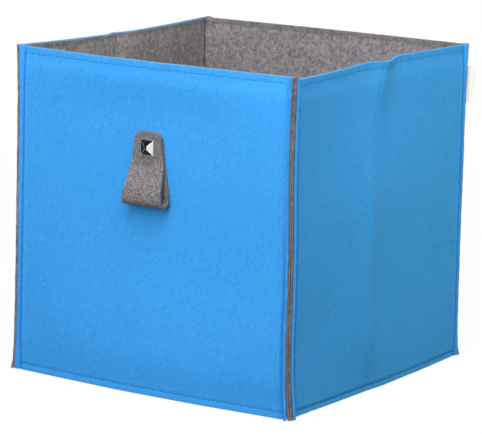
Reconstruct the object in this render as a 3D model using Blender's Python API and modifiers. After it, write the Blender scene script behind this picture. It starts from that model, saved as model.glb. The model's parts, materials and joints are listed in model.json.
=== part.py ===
"""Fold-flat felt storage box with a studded pull loop on its front wall.

Lengths are in metres and +Z is up. The pull loop is on the -Y side, and the
origin is the centre of the base's underside. Each wall is an outer felt, a
stiffening board and a lining felt. The side walls are creased down the middle,
so each sheet of a side wall, and of the base, is made as two halves.
"""

import math

import bmesh
import bpy
from mathutils import Matrix, Vector

NAME = "felt_storage_box"

# Overall size over the flat outer faces of the walls
WIDTH = 0.322
DEPTH = 0.320
HEIGHT = 0.320

# Sheet stock and the gap kept between neighbouring pieces
FELT = 0.0025
BOARD = 0.001
CLEAR = 0.0003

# Pinched corner seams, with the raw edges turned out at half a right angle
SEAM_REACH = 0.0092
SEAM_SLOT = 0.0009
SEAM_TURN = 45.0
BEND_RADIUS = 0.002
BEND_STEPS = 5
STEP_SET = 0.0025
STEP_RUN = 0.006

# Crease in the middle of the side walls and of the base
CREASE_SLOT = 0.0006
CREASE_SET = 0.0005
CREASE_BOARD = 0.004
BASE_FOLD_SET = 0.002
PAD_GAP = 0.0008

# Sewn hems
HEM = 0.008
HEM_BOARD = 0.003
THREAD = 0.0005
THREAD_SET = 0.001
THREAD_END = 0.010

# Pull loop, measured from its stud and from the outer face of the front wall
STRAP_RISE = 0.0138
STRAP_TOP_WIDTH = 0.029
STRAP_CORNER = 0.005
LOOP_WIDTH = 0.0468
LOOP_DROP = 0.0557
LOOP_REACH = 0.0157
LOOP_STANDOFF = 0.0028
LOOP_FOLD_RISE = 0.0055
LEG_STEPS = 8
FOLD_STEPS = 12

# Stud, rivet and washer that hold the pull loop
STUD_BELOW_RIM = 0.0803
STUD_SIZE = 0.015
STUD_RIM = 0.0008
STUD_PEAK = 0.0026
STUD_SOCKET = 0.0015
HINGE_DROP = 0.0032
POST_RADIUS = 0.002
POST_HEAD_RADIUS = 0.0034
POST_HEAD = 0.0008
WASHER_RADIUS = 0.006
WASHER = 0.0008
ROUND_STEPS = 32

# Bare woven label in the rear right seam
LABEL_BELOW_RIM = 0.022
LABEL_HEIGHT = 0.0365
LABEL_REACH = 0.007
LABEL_TUCK = 0.006
LABEL = 0.0003

# Points closer than this are one point
WELD = 0.000001

# Derived sizes
ROOT2 = math.sqrt(2.0)
WALL = 2.0 * FELT + BOARD + 2.0 * CLEAR
STEP = BOARD + CLEAR
INNER_X = WIDTH / 2.0 - WALL
INNER_Y = DEPTH / 2.0 - WALL
BASE_TOP = FELT
WALL_BOTTOM = BASE_TOP + CLEAR
PAD_BOARD_TOP = BASE_TOP + CLEAR + BOARD
PAD_TOP = PAD_BOARD_TOP + CLEAR + FELT
PAD_INSET = PAD_TOP - BASE_TOP + PAD_GAP
LINING_DEPTH = FELT / 2.0
OUTER_DEPTH = FELT + CLEAR + FELT / 2.0
BOARD_DEPTH = FELT + CLEAR + BOARD / 2.0
FRONT_FACE = -DEPTH / 2.0
STRAP_BACK = CLEAR + FELT / 2.0
STRAP_FRONT = STRAP_BACK + FELT + CLEAR
STRAP_FACE = STRAP_FRONT + FELT / 2.0
STUD_BASE = STRAP_FACE + CLEAR
STUD_HEIGHT = HEIGHT - STUD_BELOW_RIM
STRAP_TOP = STUD_HEIGHT + STRAP_RISE
LOOP_BOTTOM = STUD_HEIGHT - LOOP_DROP
LABEL_TOP = HEIGHT - LABEL_BELOW_RIM
HINGE_Z = STUD_HEIGHT - STUD_SIZE / 2.0 - HINGE_DROP

# Colour, roughness and metal share of each material
LOOKS = {
    "blue_felt": ((0.055, 0.330, 0.830), 0.95, 0.0),
    "grey_felt": ((0.225, 0.205, 0.215), 0.95, 0.0),
    "strap_felt": ((0.205, 0.190, 0.190), 0.95, 0.0),
    "board": ((0.420, 0.330, 0.230), 0.85, 0.0),
    "blue_thread": ((0.050, 0.270, 0.700), 0.70, 0.0),
    "white_weave": ((0.830, 0.830, 0.840), 0.70, 0.0),
    "bright_steel": ((0.780, 0.780, 0.790), 0.12, 1.0),
}


def clear_scene():
    """Remove every object of the open scene."""
    for obj in list(bpy.data.objects):
        bpy.data.objects.remove(obj, do_unlink=True)


def collection(name):
    """Return a new collection linked to the scene."""
    group = bpy.data.collections.new(name)
    bpy.context.scene.collection.children.link(group)
    return group


def material(name, colour, roughness, metallic):
    """Return a Principled material."""
    made = bpy.data.materials.new(name)
    made.use_nodes = True
    shader = made.node_tree.nodes["Principled BSDF"]
    shader.inputs["Base Color"].default_value = (*colour, 1.0)
    shader.inputs["Roughness"].default_value = roughness
    shader.inputs["Metallic"].default_value = metallic
    return made


def add_object(name, mesh, group, look, origin):
    """Add a mesh given in world coordinates as an object with its own origin."""
    mesh.transform(Matrix.Translation(-Vector(origin)))
    obj = bpy.data.objects.new(name, mesh)
    obj.location = origin
    if look:
        mesh.materials.append(look)
    group.objects.link(obj)
    return obj


def extruded(outline, low, high, frame=None):
    """Return the mesh of a flat outline extruded from low to high along its normal."""
    curve = bpy.data.curves.new("outline", "CURVE")
    curve.dimensions = "2D"
    curve.fill_mode = "NONE"
    curve.extrude = (high - low) / 2.0
    spline = curve.splines.new("POLY")
    spline.points.add(len(outline) - 1)
    for point, (x, y) in zip(spline.points, outline):
        point.co = (x, y, 0.0, 1.0)
    spline.use_cyclic_u = True
    holder = bpy.data.objects.new("outline", curve)
    bpy.context.scene.collection.objects.link(holder)
    graph = bpy.context.evaluated_depsgraph_get()
    mesh = bpy.data.meshes.new_from_object(holder.evaluated_get(graph))
    bpy.data.objects.remove(holder, do_unlink=True)
    mesh.transform(Matrix.Translation((0.0, 0.0, (low + high) / 2.0)))
    if frame is not None:
        mesh.transform(frame)
    close_ends(mesh)
    return mesh


def close_ends(mesh):
    """Cap both ends of an extruded outline and turn every face outward."""
    work = bmesh.new()
    work.from_mesh(mesh)
    bmesh.ops.remove_doubles(work, verts=work.verts, dist=WELD)
    bmesh.ops.holes_fill(work, edges=work.edges)
    bmesh.ops.recalc_face_normals(work, faces=work.faces)
    work.to_mesh(mesh)
    work.free()


def ribbon(points, thickness):
    """Return the closed outline of a sheet from its centre line."""
    path = [Vector(point) for point in points]
    near = []
    far = []
    for index, here in enumerate(path):
        before = path[max(index - 1, 0)]
        after = path[min(index + 1, len(path) - 1)]
        first = (here - before).normalized() if index else (after - here).normalized()
        last = (after - here).normalized() if index < len(path) - 1 else first
        side_a = Vector((-first.y, first.x))
        side_b = Vector((-last.y, last.x))
        mitre = (side_a + side_b).normalized()
        reach = thickness / 2.0 / mitre.dot(side_a)
        near.append(here + mitre * reach)
        far.append(here - mitre * reach)
    return [tuple(point) for point in near + far[::-1]]


def bend_radius(depth):
    """Return the radius of a sheet's centre line where it turns out into a seam."""
    return BEND_RADIUS + OUTER_DEPTH - depth


def raw_edge(depth):
    """Return the raw edge of a sheet in a seam, as seam_bend gives its points."""
    shift = SEAM_SLOT / 2.0 + depth
    return ((shift - SEAM_REACH) / ROOT2, (shift + SEAM_REACH) / ROOT2)


def seam_bend(depth, start, end):
    """Return a sheet's centre line round its bend, between two shares of the turn.

    The points are (distance from the inner corner along the wall, depth from
    the inner face). The turn starts at the seam and ends in the wall.
    """
    corner = ROOT2 * (SEAM_SLOT / 2.0 + depth) - depth
    radius = bend_radius(depth)
    middle = corner + radius * math.tan(math.radians(SEAM_TURN / 2.0))
    points = []
    for index in range(BEND_STEPS + 1):
        share = start + (end - start) * index / BEND_STEPS
        angle = math.radians(SEAM_TURN * (share - 1.0) - 90.0)
        points.append((middle + radius * math.cos(angle), depth + radius + radius * math.sin(angle)))
    return points


def board_step(bend, step):
    """Return the points after a bend that carry the outer felt over the board."""
    if not step:
        return []
    along, depth = bend[-1]
    start = along + STEP_SET
    return [(start, depth), (start + STEP_RUN, depth + STEP)]


def seam_line(depth, step):
    """Return a sheet's centre line from its raw seam edge into its wall."""
    bend = seam_bend(depth, 0.0, 1.0)
    return [raw_edge(depth)] + bend + board_step(bend, step)


def seam_split(depth):
    """Return the two shares of a bend between which a sheet is split at its seam."""
    half_gap = CLEAR / 2.0 / (bend_radius(depth) * math.radians(SEAM_TURN))
    return 0.5 - half_gap, 0.5 + half_gap


STEP_END = seam_line(OUTER_DEPTH, True)[-1][0]
THREAD_EDGE = STEP_END + THREAD_SET
BOARD_EDGE = THREAD_EDGE + HEM_BOARD


class Panel:
    """One flat wall panel: a whole wall, or half of a creased side wall."""

    def __init__(self, name, corner, along, out, origin, whole):
        """Set the panel's inner corner, directions, joint axis and length."""
        self.name = name
        self.corner = Vector(corner)
        self.along = Vector(along)
        self.out = Vector(out)
        self.origin = origin
        self.whole = whole
        span = 2.0 * INNER_X if whole else INNER_Y
        self.length = span if whole else span - CREASE_SLOT / 2.0
        self.board_end = span - (BOARD_EDGE if whole else CREASE_BOARD)

    def plan(self, points):
        """Return wall points (distance, depth) as plan points (x, y)."""
        return [tuple(self.corner + self.along * a + self.out * d) for a, d in points]

    def sheet(self, depth, step):
        """Return the mesh of a felt sheet that runs from seam to seam or to the crease."""
        if self.whole:
            line = seam_line(depth, step)
            line = line + [(self.length - a, d) for a, d in reversed(line)]
        else:
            bend = seam_bend(depth, seam_split(depth)[1], 1.0)
            line = bend + board_step(bend, step)
            line = line + [(self.length, line[-1][1])]
        return extruded(ribbon(self.plan(line), FELT), WALL_BOTTOM, HEIGHT)

    def seam_origin(self):
        """Return the origin of the end wall that the panel's seam strips are fixed to."""
        at_rear = self.corner.y > 0.0
        return (INNER_X, INNER_Y, 0.0) if at_rear else (0.0, 0.0, 0.0)

    def seam_strip(self, depth):
        """Return the mesh of a half wall's sheet in the seam, up to its bend."""
        line = [raw_edge(depth)] + seam_bend(depth, 0.0, seam_split(depth)[0])
        return extruded(ribbon(self.plan(line), FELT), WALL_BOTTOM, HEIGHT)

    def stiffener(self):
        """Return the mesh of the board between the two felts."""
        line = [(BOARD_EDGE, BOARD_DEPTH), (self.board_end, BOARD_DEPTH)]
        low = WALL_BOTTOM + HEM + HEM_BOARD
        high = HEIGHT - HEM - HEM_BOARD
        return extruded(ribbon(self.plan(line), BOARD), low, high)

    def stitching(self):
        """Return the mesh of the thread that runs round the panel's edges.

        On a whole wall it goes all the way round and ends just short of its
        start. On a half wall it leaves the creased side open.
        """
        low = WALL_BOTTOM + HEM
        high = HEIGHT - HEM
        if self.whole:
            end = self.length - THREAD_EDGE
            start = THREAD_EDGE + THREAD + CLEAR
            path = [(start, low), (end, low), (end, high), (THREAD_EDGE, high)]
            path.append((THREAD_EDGE, low - THREAD / 2.0))
        else:
            end = self.length - THREAD_END
            path = [(end, low), (THREAD_EDGE, low), (THREAD_EDGE, high), (end, high)]
        depth = WALL + CLEAR
        return extruded(ribbon(path, THREAD), depth, depth + THREAD, self.upright())

    def upright(self):
        """Return the matrix that stands (distance, height, depth) up on the wall."""
        x, y = self.corner
        along, out = self.along, self.out
        rows = ((along.x, 0, out.x, x), (along.y, 0, out.y, y), (0, 1, 0, 0), (0, 0, 0, 1))
        return Matrix(rows)


def wall_panels():
    """Return the six panels, each with its origin on its joint's axis."""
    crease = WIDTH / 2.0 + CREASE_SET
    right = (1.0, 0.0)
    left = (-1.0, 0.0)
    rear = (0.0, 1.0)
    front = (0.0, -1.0)
    x, y = INNER_X, INNER_Y
    return [
        Panel("front", (x, -y), left, front, (0.0, 0.0, 0.0), True),
        Panel("rear", (-x, y), right, rear, (x, y, 0.0), True),
        Panel("right_front", (x, -y), rear, right, (x, -y, 0.0), False),
        Panel("right_rear", (x, y), front, right, (crease, 0.0, 0.0), False),
        Panel("left_front", (-x, -y), rear, left, (-x, -y, 0.0), False),
        Panel("left_rear", (-x, y), front, left, (-x, y, 0.0), False),
    ]


def build_walls(group, looks):
    """Add the felts, boards and threads of every wall panel.

    A seam keeps its shape when the box folds, so the strip of a side wall's
    felt that is sewn into a seam is a piece of its own, fixed to the end wall.
    """
    for panel in wall_panels():
        name, origin = panel.name, panel.origin
        outer = panel.sheet(OUTER_DEPTH, True)
        add_object(f"{name}_outer_felt", outer, group, looks["blue_felt"], origin)
        lining = panel.sheet(LINING_DEPTH, False)
        add_object(f"{name}_lining", lining, group, looks["grey_felt"], origin)
        add_object(f"{name}_board", panel.stiffener(), group, looks["board"], origin)
        threads = panel.stitching()
        add_object(f"{name}_stitching", threads, group, looks["blue_thread"], origin)
        if panel.whole:
            continue
        origin = panel.seam_origin()
        outer = panel.seam_strip(OUTER_DEPTH)
        add_object(f"{name}_outer_seam", outer, group, looks["blue_felt"], origin)
        lining = panel.seam_strip(LINING_DEPTH)
        add_object(f"{name}_lining_seam", lining, group, looks["grey_felt"], origin)


def block(low, high):
    """Return the mesh of a box between two corners."""
    work = bmesh.new()
    bmesh.ops.create_cube(work, size=1.0)
    size = Vector(high) - Vector(low)
    bmesh.ops.scale(work, vec=size, verts=work.verts)
    bmesh.ops.translate(work, vec=(Vector(low) + Vector(high)) / 2.0, verts=work.verts)
    mesh = bpy.data.meshes.new("block")
    work.to_mesh(mesh)
    work.free()
    return mesh


def build_base(group, looks):
    """Add the two halves of the base, each hinged at its wall's lower edge."""
    fold = BASE_FOLD_SET
    hinge_z = BASE_TOP + CLEAR / 2.0
    pad_x = INNER_X - PAD_INSET
    pad_y = INNER_Y - PAD_INSET
    halves = (
        ("base_front", -1.0, fold - CREASE_SLOT / 2.0),
        ("base_rear", 1.0, fold + CREASE_SLOT / 2.0),
    )
    for name, side, edge in halves:
        origin = (0.0, side * DEPTH / 2.0, hinge_z)
        near, far = sorted((side * DEPTH / 2.0, edge))
        pad_near, pad_far = sorted((side * pad_y, edge))
        felt = block((-WIDTH / 2.0, near, 0.0), (WIDTH / 2.0, far, BASE_TOP))
        add_object(f"{name}_felt", felt, group, looks["grey_felt"], origin)
        low = (-pad_x, pad_near, BASE_TOP + CLEAR)
        board = block(low, (pad_x, pad_far, PAD_BOARD_TOP))
        add_object(f"{name}_board", board, group, looks["board"], origin)
        low = (-pad_x, pad_near, PAD_BOARD_TOP + CLEAR)
        lining = block(low, (pad_x, pad_far, PAD_TOP))
        add_object(f"{name}_lining", lining, group, looks["grey_felt"], origin)


def turned(name, profile, closed, group, look, location):
    """Add a turned piece whose axis points out of the front wall."""
    work = bmesh.new()
    verts = [work.verts.new((radius, 0.0, height)) for radius, height in profile]
    pairs = list(zip(verts, verts[1:]))
    if closed:
        pairs.append((verts[-1], verts[0]))
    for first, last in pairs:
        work.edges.new((first, last))
    mesh = bpy.data.meshes.new(name)
    work.to_mesh(mesh)
    work.free()
    obj = bpy.data.objects.new(name, mesh)
    mesh.materials.append(look)
    obj.location = location
    obj.rotation_euler = (math.radians(90.0), 0.0, 0.0)
    screw = obj.modifiers.new("turn", "SCREW")
    screw.steps = ROUND_STEPS
    screw.render_steps = ROUND_STEPS
    screw.use_merge_vertices = True
    screw.merge_threshold = WELD
    group.objects.link(obj)
    return obj


def cylinder_cutter(name, radius, low, high, group):
    """Add a hidden cylinder along Y at the stud, between two Y positions."""
    work = bmesh.new()
    bmesh.ops.create_cone(
        work,
        cap_ends=True,
        segments=ROUND_STEPS,
        radius1=radius,
        radius2=radius,
        depth=high - low,
    )
    mesh = bpy.data.meshes.new(name)
    work.to_mesh(mesh)
    work.free()
    obj = bpy.data.objects.new(name, mesh)
    obj.rotation_euler = (math.radians(90.0), 0.0, 0.0)
    obj.location = (0.0, (low + high) / 2.0, STUD_HEIGHT)
    hide(obj, group)
    return obj


def hide(obj, group):
    """Keep a cutter out of the finished object."""
    obj.hide_render = True
    obj.display_type = "WIRE"
    group.objects.link(obj)


def cut(obj, cutter, operation="DIFFERENCE"):
    """Cut an object with a hidden cutter."""
    modifier = obj.modifiers.new(cutter.name, "BOOLEAN")
    modifier.operation = operation
    modifier.object = cutter
    modifier.solver = "EXACT"


def strap_half_width(height):
    """Return half the strap's width at a height; the strap widens to its loop."""
    share = (STRAP_TOP - height) / (STRAP_TOP - LOOP_BOTTOM)
    return (STRAP_TOP_WIDTH + (LOOP_WIDTH - STRAP_TOP_WIDTH) * share) / 2.0


def strap_outline(low, high, corner):
    """Return the strap's front outline (x, z) between two heights."""
    half = []
    base = strap_half_width(low)
    top = strap_half_width(high)
    half.append((base, low))
    if corner:
        for index in range(BEND_STEPS + 1):
            angle = math.radians(90.0 * index / BEND_STEPS)
            x = top - corner + corner * math.cos(angle)
            half.append((x, high - corner + corner * math.sin(angle)))
    else:
        half.append((top, high))
    return half + [(-x, z) for x, z in reversed(half)]


def smooth(share):
    """Return an eased share that starts and ends level."""
    return share * share * (3.0 - 2.0 * share)


def loop_line():
    """Return the loop's centre line (distance out of the wall, height)."""
    start = HINGE_Z - CLEAR / 2.0
    front = LOOP_REACH - FELT / 2.0
    back = LOOP_STANDOFF + FELT / 2.0
    fold = LOOP_BOTTOM + FELT / 2.0 + LOOP_FOLD_RISE
    points = []
    for index in range(LEG_STEPS):
        share = index / LEG_STEPS
        out = STRAP_FRONT + (front - STRAP_FRONT) * smooth(share)
        points.append((out, start + (fold - start) * share))
    for index in range(FOLD_STEPS + 1):
        angle = math.pi * index / FOLD_STEPS
        out = (front + back) / 2.0 + (front - back) / 2.0 * math.cos(angle)
        points.append((out, fold - LOOP_FOLD_RISE * math.sin(angle)))
    for index in range(1, LEG_STEPS + 1):
        share = index / LEG_STEPS
        out = back + (STRAP_BACK - back) * smooth(share)
        points.append((out, fold + (start - fold) * share))
    return points


def build_handle(group, cutters, looks):
    """Add the stud, rivet, washer and strap, and cut the rivet's hole."""
    pivot = (0.0, FRONT_FACE, STUD_HEIGHT)
    upright = Matrix.Rotation(math.radians(90.0), 4, "X")
    hole_low = FRONT_FACE - STRAP_FACE - CLEAR
    hole_high = -INNER_Y + FELT
    hole = cylinder_cutter("rivet_hole", POST_RADIUS + CLEAR, hole_low, hole_high, cutters)
    for name in ("front_outer_felt", "front_board", "front_lining"):
        cut(bpy.data.objects[name], hole)

    outline = strap_outline(HINGE_Z + CLEAR / 2.0, STRAP_TOP, STRAP_CORNER)
    ends = (("strap_back_end", STRAP_BACK), ("strap_front_end", STRAP_FRONT))
    for name, middle in ends:
        out = middle - FRONT_FACE
        layer = extruded(outline, out - FELT / 2.0, out + FELT / 2.0, upright)
        cut(add_object(name, layer, group, looks["strap_felt"], pivot), hole)

    sideways = Matrix(((0, 0, 1, 0), (-1, 0, 0, FRONT_FACE), (0, 1, 0, 0), (0, 0, 0, 1)))
    loop_outline = ribbon(loop_line(), FELT)
    body = extruded(loop_outline, -LOOP_WIDTH, LOOP_WIDTH, sideways)
    hinge = (0.0, FRONT_FACE - STRAP_FACE, HINGE_Z)
    loop = add_object("strap_loop", body, group, looks["strap_felt"], hinge)
    outline = strap_outline(LOOP_BOTTOM - FELT, HINGE_Z, 0.0)
    room = extruded(outline, -FRONT_FACE - FELT, -FRONT_FACE + LOOP_REACH + FELT, upright)
    trim = bpy.data.objects.new("strap_trim", room)
    hide(trim, cutters)
    cut(loop, trim, "INTERSECT")

    build_stud(group, cutters, looks, pivot)


def build_stud(group, cutters, looks, pivot):
    """Add the stud cap, the rivet post and the washer on the post's axis."""
    work = bmesh.new()
    bmesh.ops.create_cube(work, size=1.0)
    bmesh.ops.scale(work, vec=(STUD_SIZE, STUD_RIM, STUD_SIZE), verts=work.verts)
    face = min(work.faces, key=lambda item: item.calc_center_median().y)
    raised = bmesh.ops.extrude_discrete_faces(work, faces=[face])["faces"][0]
    peak = raised.verts[:]
    bmesh.ops.translate(work, vec=(0.0, -STUD_PEAK, 0.0), verts=peak)
    bmesh.ops.pointmerge(work, verts=peak, merge_co=(0.0, -STUD_RIM / 2.0 - STUD_PEAK, 0.0))
    bmesh.ops.recalc_face_normals(work, faces=work.faces)
    middle = FRONT_FACE - STUD_BASE - STUD_RIM / 2.0
    bmesh.ops.translate(work, vec=(0.0, middle, STUD_HEIGHT), verts=work.verts)
    mesh = bpy.data.meshes.new("stud_cap")
    work.to_mesh(mesh)
    work.free()
    cap = add_object("stud_cap", mesh, group, looks["bright_steel"], pivot)
    socket_end = FRONT_FACE - STUD_BASE - STUD_SOCKET
    socket_open = FRONT_FACE - STUD_BASE + CLEAR
    radius = POST_RADIUS + CLEAR
    cut(cap, cylinder_cutter("stud_socket", radius, socket_end, socket_open, cutters))

    out_end = STUD_BASE + STUD_SOCKET - CLEAR
    washer_out = -WALL - CLEAR
    head_out = washer_out - WASHER - CLEAR
    head_in = head_out - POST_HEAD
    profile = [
        (0.0, out_end),
        (POST_RADIUS, out_end),
        (POST_RADIUS, head_out),
        (POST_HEAD_RADIUS, head_out),
        (POST_HEAD_RADIUS, head_in),
        (0.0, head_in),
    ]
    turned("rivet_post", profile, False, group, looks["bright_steel"], pivot)
    bore = POST_RADIUS + CLEAR
    ring = [
        (bore, washer_out),
        (WASHER_RADIUS, washer_out),
        (WASHER_RADIUS, washer_out - WASHER),
        (bore, washer_out - WASHER),
    ]
    turned("rivet_washer", ring, True, group, looks["bright_steel"], pivot)


def build_label(group, looks):
    """Add the label, held between the two linings of the rear right seam."""
    corner = Vector((INNER_X, INNER_Y))
    run = Vector((1.0, 1.0)) / ROOT2
    tip = SEAM_REACH + LABEL_REACH
    root = SEAM_REACH - LABEL_TUCK
    line = [tuple(corner + run * root), tuple(corner + run * tip)]
    strip = extruded(ribbon(line, LABEL), LABEL_TOP - LABEL_HEIGHT, LABEL_TOP)
    add_object("woven_label", strip, group, looks["white_weave"], (INNER_X, INNER_Y, 0.0))


def main():
    """Build the whole box."""
    clear_scene()
    group = collection(NAME)
    cutters = collection("cutters")
    looks = {name: material(name, *values) for name, values in LOOKS.items()}
    build_walls(group, looks)
    build_base(group, looks)
    build_handle(group, cutters, looks)
    build_label(group, looks)


main()
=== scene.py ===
"""Looks of the fold-flat felt storage box: its felts, cards, stitches, pull loop, label and studio.

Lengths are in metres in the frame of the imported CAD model: +Z is up, the pull loop is on the -Y side, and the
origin is the centre of the base's underside. Each felt is a thick sheet that is shaped from a flat grid.
"""

from __future__ import annotations

import json
import logging
import math
from dataclasses import dataclass, replace
from enum import Enum
from typing import Any, Iterable, Sequence

import bmesh
import bpy
import numpy as np
from mathutils import Matrix, Vector

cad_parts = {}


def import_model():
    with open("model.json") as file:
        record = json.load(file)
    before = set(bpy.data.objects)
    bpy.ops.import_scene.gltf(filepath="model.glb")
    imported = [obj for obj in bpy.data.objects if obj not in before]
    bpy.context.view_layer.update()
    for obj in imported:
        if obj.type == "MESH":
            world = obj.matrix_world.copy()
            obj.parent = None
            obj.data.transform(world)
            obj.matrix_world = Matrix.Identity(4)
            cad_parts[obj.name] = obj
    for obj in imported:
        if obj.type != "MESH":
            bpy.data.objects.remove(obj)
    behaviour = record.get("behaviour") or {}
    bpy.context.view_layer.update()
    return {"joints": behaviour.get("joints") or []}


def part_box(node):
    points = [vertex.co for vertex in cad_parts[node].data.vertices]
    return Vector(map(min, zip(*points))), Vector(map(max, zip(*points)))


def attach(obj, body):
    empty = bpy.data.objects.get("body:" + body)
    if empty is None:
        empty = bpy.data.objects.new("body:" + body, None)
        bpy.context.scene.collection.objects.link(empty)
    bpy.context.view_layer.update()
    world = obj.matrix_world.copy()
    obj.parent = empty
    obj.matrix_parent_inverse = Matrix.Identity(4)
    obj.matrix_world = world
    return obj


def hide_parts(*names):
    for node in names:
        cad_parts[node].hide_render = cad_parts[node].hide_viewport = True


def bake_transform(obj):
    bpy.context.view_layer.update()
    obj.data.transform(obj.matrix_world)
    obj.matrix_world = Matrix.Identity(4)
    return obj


LOG = logging.getLogger("felt_box")
ROOT2 = math.sqrt(2.0)
Triple = tuple[float, float, float]
Colour = Triple


def smoothstep(share: np.ndarray | float) -> np.ndarray:
    """Return an eased share that starts and ends level, held between 0 and 1."""
    held = np.clip(share, 0.0, 1.0)
    return held * held * (3.0 - 2.0 * held)


def hump(offset: np.ndarray | float, width: float) -> np.ndarray:
    """Return a bell curve of height 1 with the given half width."""
    return np.exp(-np.square(np.asarray(offset) / width))


class Sock:
    """A shader socket that takes part in Python arithmetic."""

    def __init__(self, tree: ShaderTree, socket: bpy.types.NodeSocket) -> None:
        """Hold an output socket of a node tree."""
        self.tree = tree
        self.socket = socket

    def _math(self, operation: str, first: Any, second: Any) -> Sock:
        """Add a Math node for two values or sockets.

        Args:
            operation: the Math node's operation.
            first: the first value or socket.
            second: the second value or socket.

        Returns:
            The node's output.
        """
        node = self.tree.node("ShaderNodeMath", {"operation": operation}, {0: first, 1: second})
        return Sock(self.tree, node.outputs[0])

    def __add__(self, other: Any) -> Sock:
        """Return the sum."""
        return self._math("ADD", self, other)

    def __radd__(self, other: Any) -> Sock:
        """Return the sum."""
        return self._math("ADD", other, self)

    def __sub__(self, other: Any) -> Sock:
        """Return the difference."""
        return self._math("SUBTRACT", self, other)

    def __rsub__(self, other: Any) -> Sock:
        """Return the difference from a value on the left."""
        return self._math("SUBTRACT", other, self)

    def __mul__(self, other: Any) -> Sock:
        """Return the product."""
        return self._math("MULTIPLY", self, other)

    def __rmul__(self, other: Any) -> Sock:
        """Return the product."""
        return self._math("MULTIPLY", other, self)


class ShaderTree:
    """A material's or a world's node tree, filled by calls."""

    def __init__(self, tree: bpy.types.NodeTree) -> None:
        """Hold the tree and empty it."""
        self.tree = tree
        self.tree.nodes.clear()

    def node(self, kind: str, settings: dict[str, Any], inputs: dict[Any, Any]) -> bpy.types.Node:
        """Add a node.

        Args:
            kind: the node's type.
            settings: its own settings; "stops" holds a ramp's (position, grey) pairs.
            inputs: values or sockets by input name or number.

        Returns:
            The new node.
        """
        made = self.tree.nodes.new(kind)
        for name, value in settings.items():
            if name == "stops":
                self._stops(made.color_ramp, value)
            else:
                setattr(made, name, value)
        for key, value in inputs.items():
            if isinstance(value, Sock):
                self.tree.links.new(value.socket, made.inputs[key])
            else:
                made.inputs[key].default_value = value
        return made

    def out(self, kind: str, settings: dict[str, Any], inputs: dict[Any, Any], name: Any = 0) -> Sock:
        """Add a node and return one of its outputs.

        Args:
            kind: the node's type.
            settings: its own settings.
            inputs: values or sockets by input name or number.
            name: the output's name or number.

        Returns:
            The wrapped output.
        """
        return Sock(self, self.node(kind, settings, inputs).outputs[name])

    def mix(self, factor: Sock, first: Any, second: Any) -> Sock:
        """Mix two colours.

        Args:
            factor: the share of the second colour.
            first: the first colour or socket.
            second: the second colour or socket.

        Returns:
            The mixed colour.
        """
        return self.out("ShaderNodeMix", {"data_type": "RGBA"}, {0: factor, 6: first, 7: second}, 2)

    def noise(self, place: Sock, scale: float, detail: float, roughness: float) -> Sock:
        """Add a noise texture on a place.

        Args:
            place: the texture's coordinates.
            scale: features per metre.
            detail: octaves.
            roughness: the share of each finer octave.

        Returns:
            The noise value.
        """
        inputs = {"Vector": place, "Scale": scale, "Detail": detail, "Roughness": roughness}
        return self.out("ShaderNodeTexNoise", {}, inputs, 0)

    def ramp(self, value: Sock, stops: Sequence[tuple[float, float]]) -> Sock:
        """Add a grey ramp.

        Args:
            value: what the ramp reads.
            stops: positions and grey levels.

        Returns:
            The ramp's colour.
        """
        return self.out("ShaderNodeValToRGB", {"stops": stops}, {0: value}, 0)

    def bump(self, height: Sock, strength: float, distance: float) -> Sock:
        """Return a normal that a height bumps."""
        return self.out("ShaderNodeBump", {}, {"Strength": strength, "Distance": distance, "Height": height})

    def show(self, shader: Sock) -> None:
        """Show a shader as the material's surface."""
        self.node("ShaderNodeOutputMaterial", {}, {"Surface": shader})

    def coat(self, inputs: dict[str, Any]) -> None:
        """Show a Principled shader with the given inputs."""
        self.show(self.out("ShaderNodeBsdfPrincipled", {}, inputs))

    @staticmethod
    def _stops(ramp: bpy.types.ColorRamp, stops: Sequence[tuple[float, float]]) -> None:
        """Set a ramp's stops.

        Args:
            ramp: the ramp.
            stops: positions and grey levels.
        """
        while len(ramp.elements) < len(stops):
            ramp.elements.new(0.5)
        for element, (position, grey) in zip(ramp.elements, stops):
            element.position = position
            element.color = (grey, grey, grey, 1.0)


def rgba(colour: Colour) -> tuple[float, float, float, float]:
    """Return an opaque colour."""
    return (*colour, 1.0)


def new_material(name: str) -> tuple[bpy.types.Material, ShaderTree]:
    """Add an empty material.

    Args:
        name: the material's name.

    Returns:
        The material and its tree.
    """
    made = bpy.data.materials.new(name)
    made.use_nodes = True
    return made, ShaderTree(made.node_tree)


def object_place(tree: ShaderTree, run: float = 1.0, lean: Triple = (0.0, 0.0, 0.0)) -> Sock:
    """Return Object coordinates, drawn out along an axis that leans from the upright.

    Args:
        tree: the material's tree.
        run: how many times longer features are along the axis.
        lean: the axis's turn, in radians about x, y and z.

    Returns:
        The coordinates.
    """
    place = tree.out("ShaderNodeTexCoord", {}, {}, "Object")
    inputs = {"Vector": place, "Rotation": lean, "Scale": (1.0, 1.0, run)}
    return tree.out("ShaderNodeMapping", {"vector_type": "TEXTURE"}, inputs)


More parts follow.
